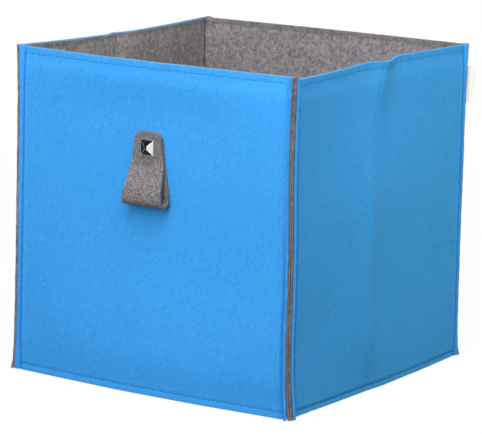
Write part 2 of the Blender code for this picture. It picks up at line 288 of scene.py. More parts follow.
@dataclass(frozen=True)
class FeltFinish:
    """Pressed wool felt: cloudy colour, matted fibres and a little bloom.

    Clouds, grain and hairs are features per metre. Cut is the share of the edge colour, a painted shade, on a
    raw edge and in a lining's hem band, and groove is the share of the dark colour in the painted shade at the
    bottom of a sewn groove.
    """

    name: str
    base: Colour
    dark: Colour
    light: Colour
    cloud: float
    fleck: float
    sheen: float
    # edge is the colour of painted shade on raw edges and in a lining's hem band; cut is its share
    edge: Colour
    cut: float
    clouds: float = 34.0
    grain: float = 900.0
    clumps: float = 0.3
    clumped: float = 0.15
    hairs: float = 2300.0
    hairy: float = 0.3
    run: float = 1.8
    lean: Triple = (0.0, 0.0, 0.0)
    # groove scales the dark colour that is painted as shade in a sewn groove
    groove: float = 0.75
    rough: float = 0.72
    gloss: float = 0.08

    def build(self) -> bpy.types.Material:
        """Make the felt.

        Returns:
            The material.
        """
        made, tree = new_material(self.name)
        place = object_place(tree)
        lying = object_place(tree, self.run, self.lean)
        cloud = tree.ramp(tree.noise(place, self.clouds, 4.0, 0.6), [(0.30, 0.0), (0.70, 1.0)])
        clump = tree.noise(place, self.grain * self.clumps, 2.0, 0.5)
        fibre = tree.noise(lying, self.grain, 4.0, 0.68)
        hair = tree.noise(lying, self.hairs, 3.0, 0.6)
        matted = fibre * (1.0 - self.clumped) + clump * self.clumped
        deep = tree.ramp(matted, [(0.36, 1.0), (0.50, 0.0)])
        pale = tree.ramp(matted, [(0.50, 0.0), (0.64, 1.0)])
        colour = tree.mix(cloud * self.cloud, rgba(self.base), rgba(self.light))
        colour = tree.mix(deep * self.fleck, colour, rgba(self.dark))
        colour = tree.mix(pale * self.fleck, colour, rgba(self.light))
        # Painted shade at the bottom of the sewn grooves, toward a darker dark colour
        sewn = tree.out("ShaderNodeAttribute", {"attribute_name": SheetMaker.GROOVE_SHADE}, {}, "Fac")
        colour = tree.mix(sewn, colour, rgba(tuple(self.groove * part for part in self.dark)))
        # Painted shade on raw edges and in the linings' hem band, toward the edge colour
        raw = tree.out("ShaderNodeAttribute", {"attribute_name": SheetMaker.EDGE_SHADE}, {}, "Fac")
        colour = tree.mix(tree.ramp(raw, [(0.55, 0.0), (0.95, self.cut)]), colour, rgba(self.edge))
        nap = matted * (1.0 - self.hairy) + hair * self.hairy
        surface = {
            "Base Color": colour,
            "Roughness": self.rough + hair * 0.2,
            "Normal": tree.bump(nap, 0.35, 0.0006),
            "Sheen Weight": self.sheen,
            "Sheen Roughness": 0.5,
            "Specular IOR Level": self.gloss,
        }
        tree.coat(surface)
        return made


@dataclass(frozen=True)
class ThreadFinish:
    """Twisted sewing thread."""

    name: str
    base: Colour
    dark: Colour
    twists: float = 2600.0
    gloss: float = 0.2

    def build(self) -> bpy.types.Material:
        """Make the thread.

        Returns:
            The material.
        """
        made, tree = new_material(self.name)
        twist = tree.noise(object_place(tree), self.twists, 2.0, 0.5)
        colour = tree.mix(tree.ramp(twist, [(0.35, 0.0), (0.65, 1.0)]), rgba(self.dark), rgba(self.base))
        surface = {
            "Base Color": colour,
            "Roughness": 0.5 + twist * 0.2,
            "Normal": tree.bump(twist, 0.3, 0.0002),
            "Specular IOR Level": self.gloss,
        }
        tree.coat(surface)
        return made


@dataclass(frozen=True)
class CardFinish:
    """Plain grey-brown card with pressed pulp specks."""

    name: str
    base: Colour
    dark: Colour
    specks: float = 240.0

    def build(self) -> bpy.types.Material:
        """Make the card.

        Returns:
            The material.
        """
        made, tree = new_material(self.name)
        pulp = tree.noise(object_place(tree), self.specks, 5.0, 0.65)
        colour = tree.mix(tree.ramp(pulp, [(0.38, 0.0), (0.62, 1.0)]), rgba(self.dark), rgba(self.base))
        normal = tree.bump(pulp, 0.15, 0.0003)
        tree.coat({"Base Color": colour, "Roughness": 0.78 + pulp * 0.15, "Normal": normal})
        return made


@dataclass(frozen=True)
class ChromeFinish:
    """Bright plating with faint wear."""

    name: str
    base: Colour
    marks: float = 700.0
    worn: float = 0.9

    def build(self) -> bpy.types.Material:
        """Make the plating.

        Returns:
            The material.
        """
        made, tree = new_material(self.name)
        wear = tree.ramp(tree.noise(object_place(tree), self.marks, 3.0, 0.5), [(0.45, 0.0), (0.75, 1.0)])
        dull = tuple(self.worn * part for part in self.base)
        colour = tree.mix(wear, rgba(self.base), rgba(dull))
        tree.coat({"Base Color": colour, "Metallic": 1.0, "Roughness": 0.06 + wear * 0.08})
        return made


@dataclass(frozen=True)
class WeaveFinish:
    """Fine white woven tape."""

    name: str
    base: Colour
    dark: Colour
    pitch: float = 0.0006

    def build(self) -> bpy.types.Material:
        """Make the tape.

        Returns:
            The material.
        """
        made, tree = new_material(self.name)
        place = object_place(tree)
        across = {"wave_type": "BANDS", "bands_direction": "Z", "wave_profile": "SIN"}
        along = {"wave_type": "BANDS", "bands_direction": "DIAGONAL", "wave_profile": "SIN"}
        scale = 1.0 / (self.pitch * 2.0 * math.pi)
        weft = tree.out("ShaderNodeTexWave", across, {"Vector": place, "Scale": scale}, "Fac")
        warp = tree.out("ShaderNodeTexWave", along, {"Vector": place, "Scale": scale}, "Fac")
        height = weft * 0.6 + warp * 0.4
        colour = tree.mix(height * 0.5, rgba(self.base), rgba(self.dark))
        surface = {
            "Base Color": colour,
            "Roughness": 0.55 + weft * 0.2,
            "Normal": tree.bump(height, 0.3, 0.00015),
            "Sheen Weight": 0.1,
        }
        tree.coat(surface)
        return made


class Stock(Enum):
    """The record's material slots."""

    BLUE_FELT = "blue_felt"
    GREY_FELT = "grey_felt"
    STRAP_FELT = "strap_felt"
    BLUE_THREAD = "blue_thread"
    WHITE_WEAVE = "white_weave"
    BOARD = "board"
    BRIGHT_STEEL = "bright_steel"


FINISHES = {
    Stock.BLUE_FELT: FeltFinish(
        name="blue_felt_cloth",
        base=(0.042, 0.318, 0.760),
        dark=(0.025, 0.239, 0.617),
        light=(0.069, 0.401, 0.902),
        cloud=0.15,
        fleck=0.60,
        sheen=0.03,
        edge=(0.060, 0.235, 0.450),
        cut=0.50,
    ),
    Stock.GREY_FELT: FeltFinish(
        name="grey_felt_cloth",
        base=(0.188, 0.175, 0.185),
        dark=(0.074, 0.067, 0.072),
        light=(0.360, 0.337, 0.352),
        cloud=0.28,
        fleck=0.78,
        sheen=0.06,
        edge=(0.078, 0.078, 0.088),
        cut=0.45,
        grain=600.0,
        clumped=0.32,
        run=2.6,
        lean=(-0.45, 0.55, 0.0),
    ),
    Stock.STRAP_FELT: FeltFinish(
        name="strap_felt_cloth",
        base=(0.149, 0.138, 0.143),
        dark=(0.047, 0.041, 0.044),
        light=(0.326, 0.302, 0.308),
        cloud=0.15,
        fleck=0.90,
        sheen=0.06,
        edge=(0.049, 0.043, 0.046),
        cut=0.25,
    ),
    Stock.BLUE_THREAD: ThreadFinish("blue_thread_twist", (0.012, 0.185, 0.530), (0.006, 0.115, 0.380)),
    Stock.WHITE_WEAVE: WeaveFinish("white_tape", (0.920, 0.920, 0.930), (0.800, 0.805, 0.820)),
    Stock.BOARD: CardFinish("card_pulp", (0.430, 0.345, 0.245), (0.330, 0.255, 0.175)),
    Stock.BRIGHT_STEEL: ChromeFinish("bright_plate", (0.800, 0.800, 0.815)),
}


class Bench:
    """Modelling steps on one object at a time, and the finishing of a piece."""

    materials: dict[Stock, bpy.types.Material] = {}

    @staticmethod
    def clear() -> None:
        """Leave edit mode and deselect everything."""
        if bpy.context.object and bpy.context.object.mode != "OBJECT":
            bpy.ops.object.mode_set(mode="OBJECT")
        bpy.ops.object.select_all(action="DESELECT")

    @classmethod
    def take(cls, obj: bpy.types.Object) -> None:
        """Select one object alone and make it active.

        Args:
            obj: the object.
        """
        cls.clear()
        obj.select_set(True)
        bpy.context.view_layer.objects.active = obj

    @staticmethod
    def named(name: str) -> bpy.types.Object:
        """Name the primitive that was just added.

        Args:
            name: the piece's name.

        Returns:
            The primitive.
        """
        obj = bpy.context.object
        obj.name = name
        obj.data.name = name
        return obj

    @classmethod
    def edit(cls, obj: bpy.types.Object) -> bmesh.types.BMesh:
        """Open an object in edit mode with nothing selected.

        Args:
            obj: the object.

        Returns:
            Its edit mesh.
        """
        cls.take(obj)
        bpy.ops.object.mode_set(mode="EDIT")
        bpy.ops.mesh.select_all(action="DESELECT")
        return bmesh.from_edit_mesh(obj.data)

    @staticmethod
    def pick(obj: bpy.types.Object, items: Iterable[Any]) -> None:
        """Select parts of the open edit mesh and pass the choice to the operators.

        Args:
            obj: the open object.
            items: its faces, edges or points.
        """
        for item in items:
            item.select_set(True)
        work = bmesh.from_edit_mesh(obj.data)
        work.select_flush_mode()
        bmesh.update_edit_mesh(obj.data)

    @classmethod
    def settle(cls, obj: bpy.types.Object) -> None:
        """Put an object's place, turn and scale into its mesh."""
        cls.take(obj)
        bpy.ops.object.transform_apply(location=True, rotation=True, scale=True)

    @classmethod
    def modify(cls, obj: bpy.types.Object, kind: str, **settings: Any) -> None:
        """Add a modifier and apply it.

        Args:
            obj: the object.
            kind: the modifier's type.
            settings: the modifier's settings.
        """
        cls.take(obj)
        modifier = obj.modifiers.new(kind.lower(), kind)
        for name, value in settings.items():
            setattr(modifier, name, value)
        bpy.ops.object.modifier_apply(modifier=modifier.name)

    @classmethod
    def round_edges(cls, obj: bpy.types.Object, width: float, segments: int, angle: float) -> None:
        """Round the edges that are sharper than an angle in degrees."""
        limit = {"limit_method": "ANGLE", "angle_limit": math.radians(angle)}
        cls.modify(obj, "BEVEL", width=width, segments=segments, **limit)

    @classmethod
    def face_out(cls, obj: bpy.types.Object) -> None:
        """Turn every face outward.

        Args:
            obj: the object.
        """
        cls.edit(obj)
        bpy.ops.mesh.select_all(action="SELECT")
        bpy.ops.mesh.normals_make_consistent(inside=False)
        bpy.ops.object.mode_set(mode="OBJECT")

    @classmethod
    def smooth(cls, obj: bpy.types.Object, angle: float) -> None:
        """Shade an object smooth except across edges sharper than an angle in degrees."""
        cls.take(obj)
        bpy.ops.object.shade_smooth_by_angle(angle=math.radians(angle))

    @classmethod
    def dress(cls, obj: bpy.types.Object, stock: Stock) -> None:
        """Give a piece its material.

        Args:
            obj: the piece.
            stock: what it is made of.
        """
        if stock not in cls.materials:
            cls.materials[stock] = FINISHES[stock].build()
        obj.data.materials.clear()
        obj.data.materials.append(cls.materials[stock])

    @classmethod
    def grid(cls, name: str, points: np.ndarray, sewn: np.ndarray | None = None) -> bpy.types.Object:
        """Add a flat grid and move its points.

        Args:
            name: the piece's name.
            points: the places, as rows by columns by 3.
            sewn: how much painted shade each point gets in a sewn groove, as rows by columns.

        Returns:
            The new object.
        """
        rows, columns, _ = points.shape
        cls.clear()
        bpy.ops.mesh.primitive_grid_add(x_subdivisions=columns - 1, y_subdivisions=rows - 1, size=2.0)
        obj = cls.named(name)
        flat = np.zeros(len(obj.data.vertices) * 3, np.float32)
        obj.data.vertices.foreach_get("co", flat)
        flat = flat.reshape(-1, 3)
        column = np.rint((flat[:, 0] + 1.0) / 2.0 * (columns - 1)).astype(int)
        row = np.rint((flat[:, 1] + 1.0) / 2.0 * (rows - 1)).astype(int)
        obj.data.vertices.foreach_set("co", points[row, column].astype(np.float32).ravel())
        # Store the painted groove shade that the felt finish reads
        if sewn is not None:
            share = obj.data.attributes.new(SheetMaker.GROOVE_SHADE, "FLOAT", "POINT")
            share.data.foreach_set("value", sewn[row, column].astype(np.float32))
        obj.data.update()
        return obj


class Rim(Enum):
    """The sides of a grid, as they are cut."""

    START = 0
    END = 1
    LOW = 2
    HIGH = 3


ALL_RIMS = (Rim.START, Rim.END, Rim.LOW, Rim.HIGH)


class SheetMaker:
    """Turns a grid of places into a sheet with thickness and soft raw edges, which an attribute marks for
    painted shade.
    """

    EDGE_SHADE = "cut_edge"
    GROOVE_SHADE = "sewn_groove"
    BAND_SHADE = 0.8
    SMOOTH = 50.0
    PER_METRE = 1e6

    def __init__(self, edge: float = 0.0005, sharp: float = 40.0) -> None:
        """Set the roundness of a raw edge and the angle that counts as one."""
        self.edge = edge
        self.sharp = math.radians(sharp)

    def make(
        self,
        name: str,
        points: np.ndarray,
        thickness: float,
        raw: Sequence[Rim] = ALL_RIMS,
        pressed: float = math.inf,
        sewn: np.ndarray | None = None,
    ) -> bpy.types.Object:
        """Make a sheet.

        Args:
            name: the piece's name.
            points: the places of the middle surface, as rows by columns by 3.
            thickness: the sheet's thickness.
            raw: the sides with a cut edge; the other sides run on in another piece.
            pressed: the height above which the sheet gets painted shade, as a lining's hem band.
            sewn: how much painted shade each place gets in a sewn groove, as rows by columns.

        Returns:
            The finished sheet.
        """
        obj = Bench.grid(name, points, sewn)
        self._mark(obj, points, raw)
        Bench.modify(obj, "SOLIDIFY", thickness=thickness, offset=0.0, use_even_offset=True)
        Bench.face_out(obj)
        if self.edge:
            self._weigh(obj)
            limit = {"limit_method": "WEIGHT", "use_clamp_overlap": True}
            Bench.modify(obj, "BEVEL", width=self.edge, segments=2, **limit)
        self._keep(obj, pressed)
        Bench.smooth(obj, self.SMOOTH)
        return obj

    @classmethod
    def _keep(cls, obj: bpy.types.Object, pressed: float) -> None:
        """Turn the raw sides' vertex group and the hem band above a height into an attribute that the finish
        darkens as painted shade.

        Args:
            obj: the sheet.
            pressed: the height above which it gets painted shade.
        """
        # Raw edges, and a lining's band above the pressed height, take painted shade in the finish
        share = [
            max(sum(group.weight for group in vert.groups), cls.BAND_SHADE * (vert.co.z > pressed))
            for vert in obj.data.vertices
        ]
        edge = obj.data.attributes.new(cls.EDGE_SHADE, "FLOAT", "POINT")
        edge.data.foreach_set("value", share)
        obj.vertex_groups.clear()

    @classmethod
    def _mark(cls, obj: bpy.types.Object, points: np.ndarray, raw: Sequence[Rim]) -> None:
        """Put the points of the raw sides in a vertex group.

        Args:
            obj: the grid.
            points: its places, as rows by columns by 3.
            raw: the raw sides.
        """
        rims = {
            Rim.START: points[:, 0],
            Rim.END: points[:, -1],
            Rim.LOW: points[0],
            Rim.HIGH: points[-1],
        }
        places = np.concatenate([rims[rim] for rim in raw])
        keys = {tuple(np.rint(place * cls.PER_METRE).astype(int)) for place in places}
        group = obj.vertex_groups.new(name="raw")
        chosen = [v.index for v in obj.data.vertices if tuple(round(c * cls.PER_METRE) for c in v.co) in keys]
        group.add(chosen, 1.0, "REPLACE")

    def _weigh(self, obj: bpy.types.Object) -> None:
        """Weigh the sharp edges along the raw sides for the bevel.

        Args:
            obj: the sheet.
        """
        work = bmesh.new()
        work.from_mesh(obj.data)
        group = work.verts.layers.deform.verify()
        weight = work.edges.layers.float.new("bevel_weight_edge")
        for edge in work.edges:
            if len(edge.link_faces) != 2 or not all(0 in vert[group] for vert in edge.verts):
                continue
            if edge.calc_face_angle(0.0) > self.sharp:
                edge[weight] = 1.0
        work.to_mesh(obj.data)
        work.free()


@dataclass(frozen=True)
class BoxFrame:
    """Sizes of the box, read from the CAD nodes."""

    half_depth: float
    inner_x: float
    inner_y: float
    bottom: float
    top: float
    felt: float
    board: float
    board_low: float
    board_high: float
    clear: float
    foot: float = 0.0002
    rim_drop: float = 0.0002
    lining: float = 0.0021

    @classmethod
    def read(cls) -> BoxFrame:
        """Read the loaded model.

        Returns:
            The box's sizes.
        """
        base_low, base_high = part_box("base_front_felt")
        lining_low, lining_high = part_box("front_lining")
        side_low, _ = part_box("right_front_lining")
        board_low, board_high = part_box("front_board")
        felt = base_high.z - base_low.z
        board = board_high.y - board_low.y
        return cls(
            half_depth=-base_low.y,
            inner_x=side_low.x,
            inner_y=-lining_high.y,
            bottom=lining_low.z,
            top=lining_high.z,
            felt=felt,
            board=board,
            board_low=board_low.z,
            board_high=board_high.z,
            clear=(lining_high.y - base_low.y - 2.0 * felt - board) / 2.0,
        )


@dataclass(frozen=True)
class Corner:
    """How one corner stands off the square at its rim and foot, and how its seam lies.

    The linings of a seam touch, except over a stretch where they part. Loose is the
    gap between a lining and its outer felt, tilt is the seam's lean at the rim, and
    longer is how much further the linings reach than the outer felts. Bend lists
    heights, and how far across its seam the corner stands there. Trim is how much
    shorter the outer felts are cut.
    """

    x: int
    y: int
    rim: tuple[float, float, float]
    foot: tuple[float, float, float]
    loose: float
    tilt: float = 0.0
    longer: float = 0.0
    part: float = 0.0
    part_low: float = 0.0
    part_high: float = 0.0
    bend: tuple[tuple[float, float], ...] = ((0.0, 0.0),)
    trim: float = 0.0


class Stance:
    """Moves points of the square box to where its soft corners really stand."""

    def __init__(self, box: BoxFrame, corners: dict[str, Corner]) -> None:
        """Hold the box's sizes and its corners."""
        self.box = box
        self.corners = corners

    def move(self, points: np.ndarray) -> np.ndarray:
        """Return points moved with the corners that they are near.

        Args:
            points: places of the square box, with 3 numbers each.

        Returns:
            The moved places.
        """
        right = np.clip(points[..., 0] / self.box.inner_x / 2.0 + 0.5, 0.0, 1.0)
        back = np.clip(points[..., 1] / self.box.inner_y / 2.0 + 0.5, 0.0, 1.0)
        high = np.clip(points[..., 2] / self.box.top, 0.0, 1.0)[..., None]
        moved = points
        for corner in self.corners.values():
            share = (right if corner.x > 0 else 1.0 - right) * (back if corner.y > 0 else 1.0 - back)
            pull = high * np.array(corner.rim) + (1.0 - high) * np.array(corner.foot)
            bent = np.interp(points[..., 2], *zip(*corner.bend))[..., None]
            pull = pull + bent * np.array((-corner.y, corner.x, 0.0)) / ROOT2
            moved = moved + share[..., None] * pull
        return moved


def stance_of(box: BoxFrame) -> Stance:
    """Return how the box stands: its front right seam leans left at the rim and bends on its way down.

    Args:
        box: the box's sizes.

    Returns:
        The stance.
    """
    label_low, label_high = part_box("woven_label")
    bend = (
        (0.0, -0.0011),
        (0.012, -0.0015),
        (0.027, -0.0024),
        (0.042, -0.0028),
        (0.075, -0.0027),
        (0.090, -0.0022),
        (0.105, -0.0014),
        (0.120, -0.0008),
        (0.150, -0.0007),
        (0.170, -0.0011),
        (0.210, -0.0017),
        (0.270, -0.0014),
        (0.300, -0.0007),
        (0.318, 0.0003),
    )
    corners = {
        "front_left": Corner(
            -1, -1, (-0.0002, 0.0, 0.0028), (-0.0022, -0.0030, 0.0), 0.00015, longer=0.0009, trim=0.0008
        ),
        "front_right": Corner(
            1, -1, (-0.0024, 0.0, 0.0002), (0.0021, 0.0, 0.0), 0.0004, 0.0, -0.0003, 0.0002, -0.02, 0.15, bend
        ),
        "rear_right": Corner(
            1,
            1,
            (0.0007, 0.0004, 0.0005),
            (0.0005, 0.0004, 0.0),
            0.0003,
            longer=0.0006,
            part=0.0002,
            part_low=label_low.z,
            part_high=label_high.z,
            trim=0.0007,
        ),
        "rear_left": Corner(-1, 1, (0.0, 0.0, 0.0017), (0.0, 0.0, 0.0), 0.0003, -0.0055, 0.0006),
    }
    return Stance(box, corners)


@dataclass(frozen=True)
class Seam:
    """A pinched corner seam whose raw edges point out at half a right angle."""

    reach: float = 0.0082
    waist: float = 0.0019
    waist_run: float = 0.028
    root: float = 0.0026
    bend: float = 0.002
    touch: float = 0.00002
    close_run: float = 0.022
    sway: float = 0.00045
    tilt_run: float = 0.045
    fray: float = 0.00009
    kick: float = 0.0014
    kick_run: float = 0.0065
    foot_lift: float = 0.0006
    foot_gap: float = 0.0003
    tip_from: float = 0.0045
    tip_run: float = 0.0035
    open_share: float = 1.5
    open_run: float = 0.055
    part_run: float = 0.012
    flange_steps: int = 6
    bend_steps: int = 7

    def narrowing(self, height: np.ndarray, box: BoxFrame) -> np.ndarray:
        """Return how much shorter the raw edges are cut at a height than at the rim and the foot."""
        ends = np.exp(-height / self.waist_run) + np.exp((height - box.top) / self.waist_run)
        return self.waist * (1.0 - np.clip(ends, 0.0, 1.0))


@dataclass(frozen=True)
class Hem:
    """Stitched hems at the rim, at the foot and in the grooves beside the seams."""

    rise: float = 0.0064
    foot_rise: float = 0.0064
    side: float = 0.0023
    ease_start: float = 0.0002
    ease_run: float = 0.0034
    rim_run: float = 0.016
    foot_run: float = 0.0030
    dip: float = 0.0002
    side_dip: float = 0.0016
    far_dip: float = 0.0016
    side_width: float = 0.0018
    foot_dip: float = 0.0003
    dip_width: float = 0.0008
    flare: float = 0.0003
    foot_step: float = 0.15
    ridge: float = 0.0006
    ridge_from: float = 0.0058
    ridge_width: float = 0.0016
    lining_dip: float = 0.0001
    lining_lean: float = 0.0004
    # how far below the rim a lining's band of painted shade starts
    band: float = 0.0042
    crease_pinch: float = 0.0020
    pinch_width: float = 0.0028
    shade: float = 0.85
    shade_width: float = 0.0013
    fade_from: float = 1.0
    fade_run: float = 0.10
    inside_from: float = 0.002
    inside_run: float = 0.004
    press: float = 0.7
    settle_run: float = 0.03
    ridge_least: float = 0.4
    crease_line: float = 0.0005
    crease_width: float = 0.0013

    def dips(self, along: np.ndarray, height: np.ndarray, length: float) -> np.ndarray:
        """Return how deep the groove beside the nearer seam is."""
        far = self.far_dip * (1.0 - smoothstep((height - self.fade_from) / self.fade_run))
        return np.where(along < length / 2.0, self.side_dip, far)


@dataclass(frozen=True)
class Layer:
    """One felt of a wall."""

    word: str
    node: str
    seam_node: str
    stock: Stock
    thick: float
    depth: float
    over: float
    outer: bool


@dataclass(frozen=True)
class Bow:
    """How a wall stands out of its flat plane: at its rim, at its foot and at its crease.

    The crease is pressed in along the wall, or out where its fold is negative, and springs out at the rim.
    """

    rim: float
    foot: float
    rim_from: float
    foot_from: float
    crease_rim: float = 0.0
    crease_fold: float = 0.0
    crease_shift: float = 0.006
    crease_before: float = 0.017
    crease_after: float = 0.009
    crease_run: float = 0.035
    crease_reach: float = 0.034
    crease_back: float = 0.034
    crease_foot: float = 0.25
    crease_fade: float = 0.0
    crease_set: float = 0.0
    crease_lean: float = 0.0
    crease_turn: float = 4.0
    ripple: float = 0.0004
    phase: float = 0.0
    sag: float = 0.0
    drop: float = 0.0
    dimple: float = 0.0
    draw: float = 0.0
    draw_height: float = 0.05
    draw_run: float = 0.25
    drop_start: float = 0.004
    drop_ends: tuple[float, float] = (0.095, 0.162)
    drop_run: float = 0.030
    dimple_at: float = 0.170
    dimple_width: float = 0.014
    fullness: float = 1.2
    ripple_along: float = 61.0
    ripple_up: float = 43.0
    crease_foot_run: float = 0.06
    crease_fade_from: float = 0.16
    crease_fade_run: float = 0.12

    def fold_line(self, height: np.ndarray, length: float, box: BoxFrame) -> np.ndarray:
        """Return how far along the wall its crease is at a height."""
        risen = np.power(np.clip(height / box.top, 0.0, 1.0), self.crease_turn)
        return length / 2.0 + self.crease_set + (self.crease_lean - self.crease_set) * risen

    def settle(self, along: np.ndarray, height: np.ndarray, length: float, box: BoxFrame) -> np.ndarray:
        """Return heights with the rim sagged, dropped and dimpled before its crease, and the foot drawn up.

        Args:
            along: distances along the wall from its first inner corner.
            height: heights, in a shape that fits along.
            length: the wall's length between its inner corners.
            box: the box's sizes.

        Returns:
            The settled heights.
        """
        high = smoothstep(height / box.top * 2.0 - 1.0)
        low = smoothstep(1.0 - height / self.draw_height)
        begun = smoothstep((along + self.drop_start) / (2.0 * self.drop_start))
        eased = sum(0.5 * smoothstep((along - end) / self.drop_run) for end in self.drop_ends)
        dimpled = self.dimple * hump(along - self.dimple_at, self.dimple_width)
        dropped = self.drop * begun * (1.0 - eased) + dimpled
        near = begun * (1.0 - smoothstep(along / self.draw_run))
        sagged = self.sag * np.sin(np.pi * np.clip(along / length, 0.0, 1.0))
        return height - high * (sagged + dropped) + low * self.draw * near

    def at(self, along: np.ndarray, height: np.ndarray, length: float, box: BoxFrame) -> np.ndarray:
        """Return how far the wall stands out.

        Args:
            along: distances along the wall from its first inner corner.
            height: heights, in a shape that fits along.
            length: the wall's length between its inner corners.
            box: the box's sizes.

        Returns:
            The distance out of the flat plane.
        """
        arch = np.power(np.sin(np.pi * np.clip(along / length, 0.0, 1.0)), self.fullness)
        rim = self.rim * smoothstep((height - self.rim_from) / (box.top - self.rim_from))
        foot = self.foot * smoothstep((self.foot_from - height) / (self.foot_from - box.bottom))
        waves = np.sin(along * self.ripple_along + self.phase)
        waves = waves * np.sin(height * self.ripple_up + 1.7 * self.phase + 0.6)
        lean = (rim + foot + self.ripple * waves) * arch
        off = along - self.fold_line(height, length, box)
        near_rim = np.exp(np.minimum(height - box.top, 0.0) / self.crease_run)
        spring = np.where(
            off < self.crease_shift,
            hump(off - self.crease_shift, self.crease_before),
            hump(off - self.crease_shift, self.crease_after),
        )
        risen = smoothstep(height / self.crease_foot_run)
        faded = self.crease_fade * smoothstep((height - self.crease_fade_from) / self.crease_fade_run)
        pressed = (1.0 - near_rim) * (self.crease_foot + (1.0 - self.crease_foot) * risen) * (1.0 - faded)
        fold = pressed * np.exp(-np.abs(off) / np.where(off < 0.0, self.crease_reach, self.crease_back))
        return lean + self.crease_rim * near_rim * spring - self.crease_fold * fold * arch


@dataclass(frozen=True)
class Path:
    """Points of a felt's middle line in plan, before the wall's own bow."""

    along: np.ndarray
    depth: np.ndarray
    out: np.ndarray
    end: np.ndarray
    flat: np.ndarray

    def part(self, first: float, last: float) -> Path:
        """Return the points between two distances along the wall, both included."""
        keep = (self.along >= first - 1e-9) & (self.along <= last + 1e-9)
        return Path(*(item[keep] for item in (self.along, self.depth, self.out, self.end, self.flat)))


class Wall:
    """One wall of the box: where it stands and how its felts run."""

    CREASE_ROOM, CREASE_STEPS, SIDE_STEPS, END_STEPS = 0.020, 31, 26, 66
    GROOVE_ROOM, GROOVE_STEPS, NEAR_STEPS = 0.0082, 17, 9
    HEM_ROOM, HEM_STEPS, MIDDLE_STEPS = 0.015, 19, 62

    def __init__(
        self,
        name: str,
        stance: Stance,
        start: Sequence[float],
        along: Sequence[float],
        corners: Sequence[str],
        bow: Bow,
        lining_drop: float,
        hem: Hem,
    ) -> None:
        """Set up a wall.

        Args:
            name: the wall's name.
            stance: how the box stands.
            start: its first inner corner in plan.
            along: its direction in plan.
            corners: the names of its first and last corners.
            bow: how it stands out of its plane.
            lining_drop: how far its lining ends below the rim.
            hem: its hems.
        """
        box = stance.box
        self.name = name
        self.box = box
        self.stance = stance
        self.start = np.array(start, float)
        self.along = np.array(along, float)
        self.out = np.array((along[1], -along[0]), float)
        self.corners = [stance.corners[corner] for corner in corners]
        self.bow = bow
        self.lining_drop = lining_drop
        self.creased = name in ("left", "right")
        self.length = 2.0 * (box.inner_y if self.creased else box.inner_x)
        self.seam = Seam()
        self.hem = hem
        middle = box.felt + box.clear + box.felt / 2.0
        inner = box.felt - box.lining / 2.0
        over = box.board + box.clear
        blue, grey = Stock.BLUE_FELT, Stock.GREY_FELT
        self.outer = Layer("blue_felt", "outer_felt", "outer_seam", blue, box.felt, middle, over, True)
        self.lining = Layer("grey_felt", "lining", "lining_seam", grey, box.lining, inner, 0.0, False)

    def shift(self, layer: Layer, corner: Corner) -> float:
        """Return how far a felt lies off a seam's middle.

        Args:
            layer: the felt.
            corner: the seam's corner.

        Returns:
            The distance to the felt's middle line.
        """
        lining = self.box.lining / 2.0 + self.seam.touch
        between = (self.box.lining + self.box.felt) / 2.0
        return lining + between + corner.loose if layer.outer else lining

    def seam_points(self, layer: Layer, corner: Corner) -> tuple[np.ndarray, np.ndarray, np.ndarray]:
        """Return a felt's middle line from its raw edge to the end of its bend.

        Args:
            layer: the felt.
            corner: the corner at whose seam it ends.

        Returns:
            Distances along the wall, depths, and distances out along the seam.
        """
        shift = self.shift(layer, corner)
        radius = self.seam.bend + self.outer.depth - layer.depth
        middle = ROOT2 * shift - layer.depth + radius * math.tan(math.pi / 8.0)
        angle = np.linspace(-0.75 * math.pi, -0.5 * math.pi, self.seam.bend_steps)
        arc_along = middle + radius * np.cos(angle)
        arc_depth = layer.depth + radius + radius * np.sin(angle)
        root = (arc_depth[0] - arc_along[0]) / ROOT2
        out = np.linspace(self.seam.reach, root, self.seam.flange_steps)[:-1]
        along = np.concatenate([(shift - out) / ROOT2, arc_along])
        depth = np.concatenate([(shift + out) / ROOT2, arc_depth])
        arc_out = np.maximum((arc_depth - arc_along) / ROOT2, 0.0)
        return along, depth, np.concatenate([out, arc_out])

    def stations(self, first: float, last: float, split: float) -> np.ndarray:
        """Return distances along the wall that are close together where the felt bends.

        Args:
            first: where the wall's flat part starts.
            last: where it ends, from the far corner.
            split: the distance from each inner corner at which a side wall's felts are divided.

        Returns:
            The distances, with the split places and the crease among them.
        """
        middle = self.length / 2.0
        crease = self.CREASE_ROOM
        if self.creased:
            run = np.linspace(split, middle - crease, self.SIDE_STEPS)
            fold = np.linspace(middle - crease, middle + crease, self.CREASE_STEPS)
            wide = np.concatenate([run, fold[1:], self.length - run[::-1][1:]])
        else:
            wide = np.linspace(split, self.length - split, self.END_STEPS)
        near, far = self._near(first, split), self.length - self._near(last, split)[::-1]
        return np.concatenate([near, wide[1:], far[1:]])

    def _near(self, first: float, split: float) -> np.ndarray:
        """Return distances from the end of a bend to a split.

        Args:
            first: where the bend ends.
            split: where the felt is divided.

        Returns:
            The distances, close together at the groove and its ridge.
        """
        groove = first + self.GROOVE_ROOM
        close = np.linspace(first, groove, self.GROOVE_STEPS)
        return np.concatenate([close, np.linspace(groove, split, self.NEAR_STEPS)[1:]])

    def path(self, layer: Layer, split: float) -> Path:
        """Return a felt's middle line from raw edge to raw edge.

        Args:
            layer: the felt.
            split: the distance from each inner corner at which a side wall's felts are divided.

        Returns:
            The middle line.
        """
        first, last = (self.seam_points(layer, corner) for corner in self.corners)
        flat = self.stations(first[0][-1], last[0][-1], split)[1:-1]
        none = np.zeros(len(flat))
        count = len(first[0])
        bent = np.linspace(0.0, 1.0, self.seam.bend_steps)
        into = np.concatenate([np.zeros(count - len(bent)), bent])
        return Path(
            along=np.concatenate([first[0], flat, self.length - last[0][::-1]]),
            depth=np.concatenate([first[1], none + layer.depth, last[1][::-1]]),
            out=np.concatenate([first[2], none, last[2][::-1]]),
            end=np.concatenate([np.zeros(count), none, np.ones(count)]),
            flat=np.concatenate([into, none + 1.0, into[::-1]]),
        )

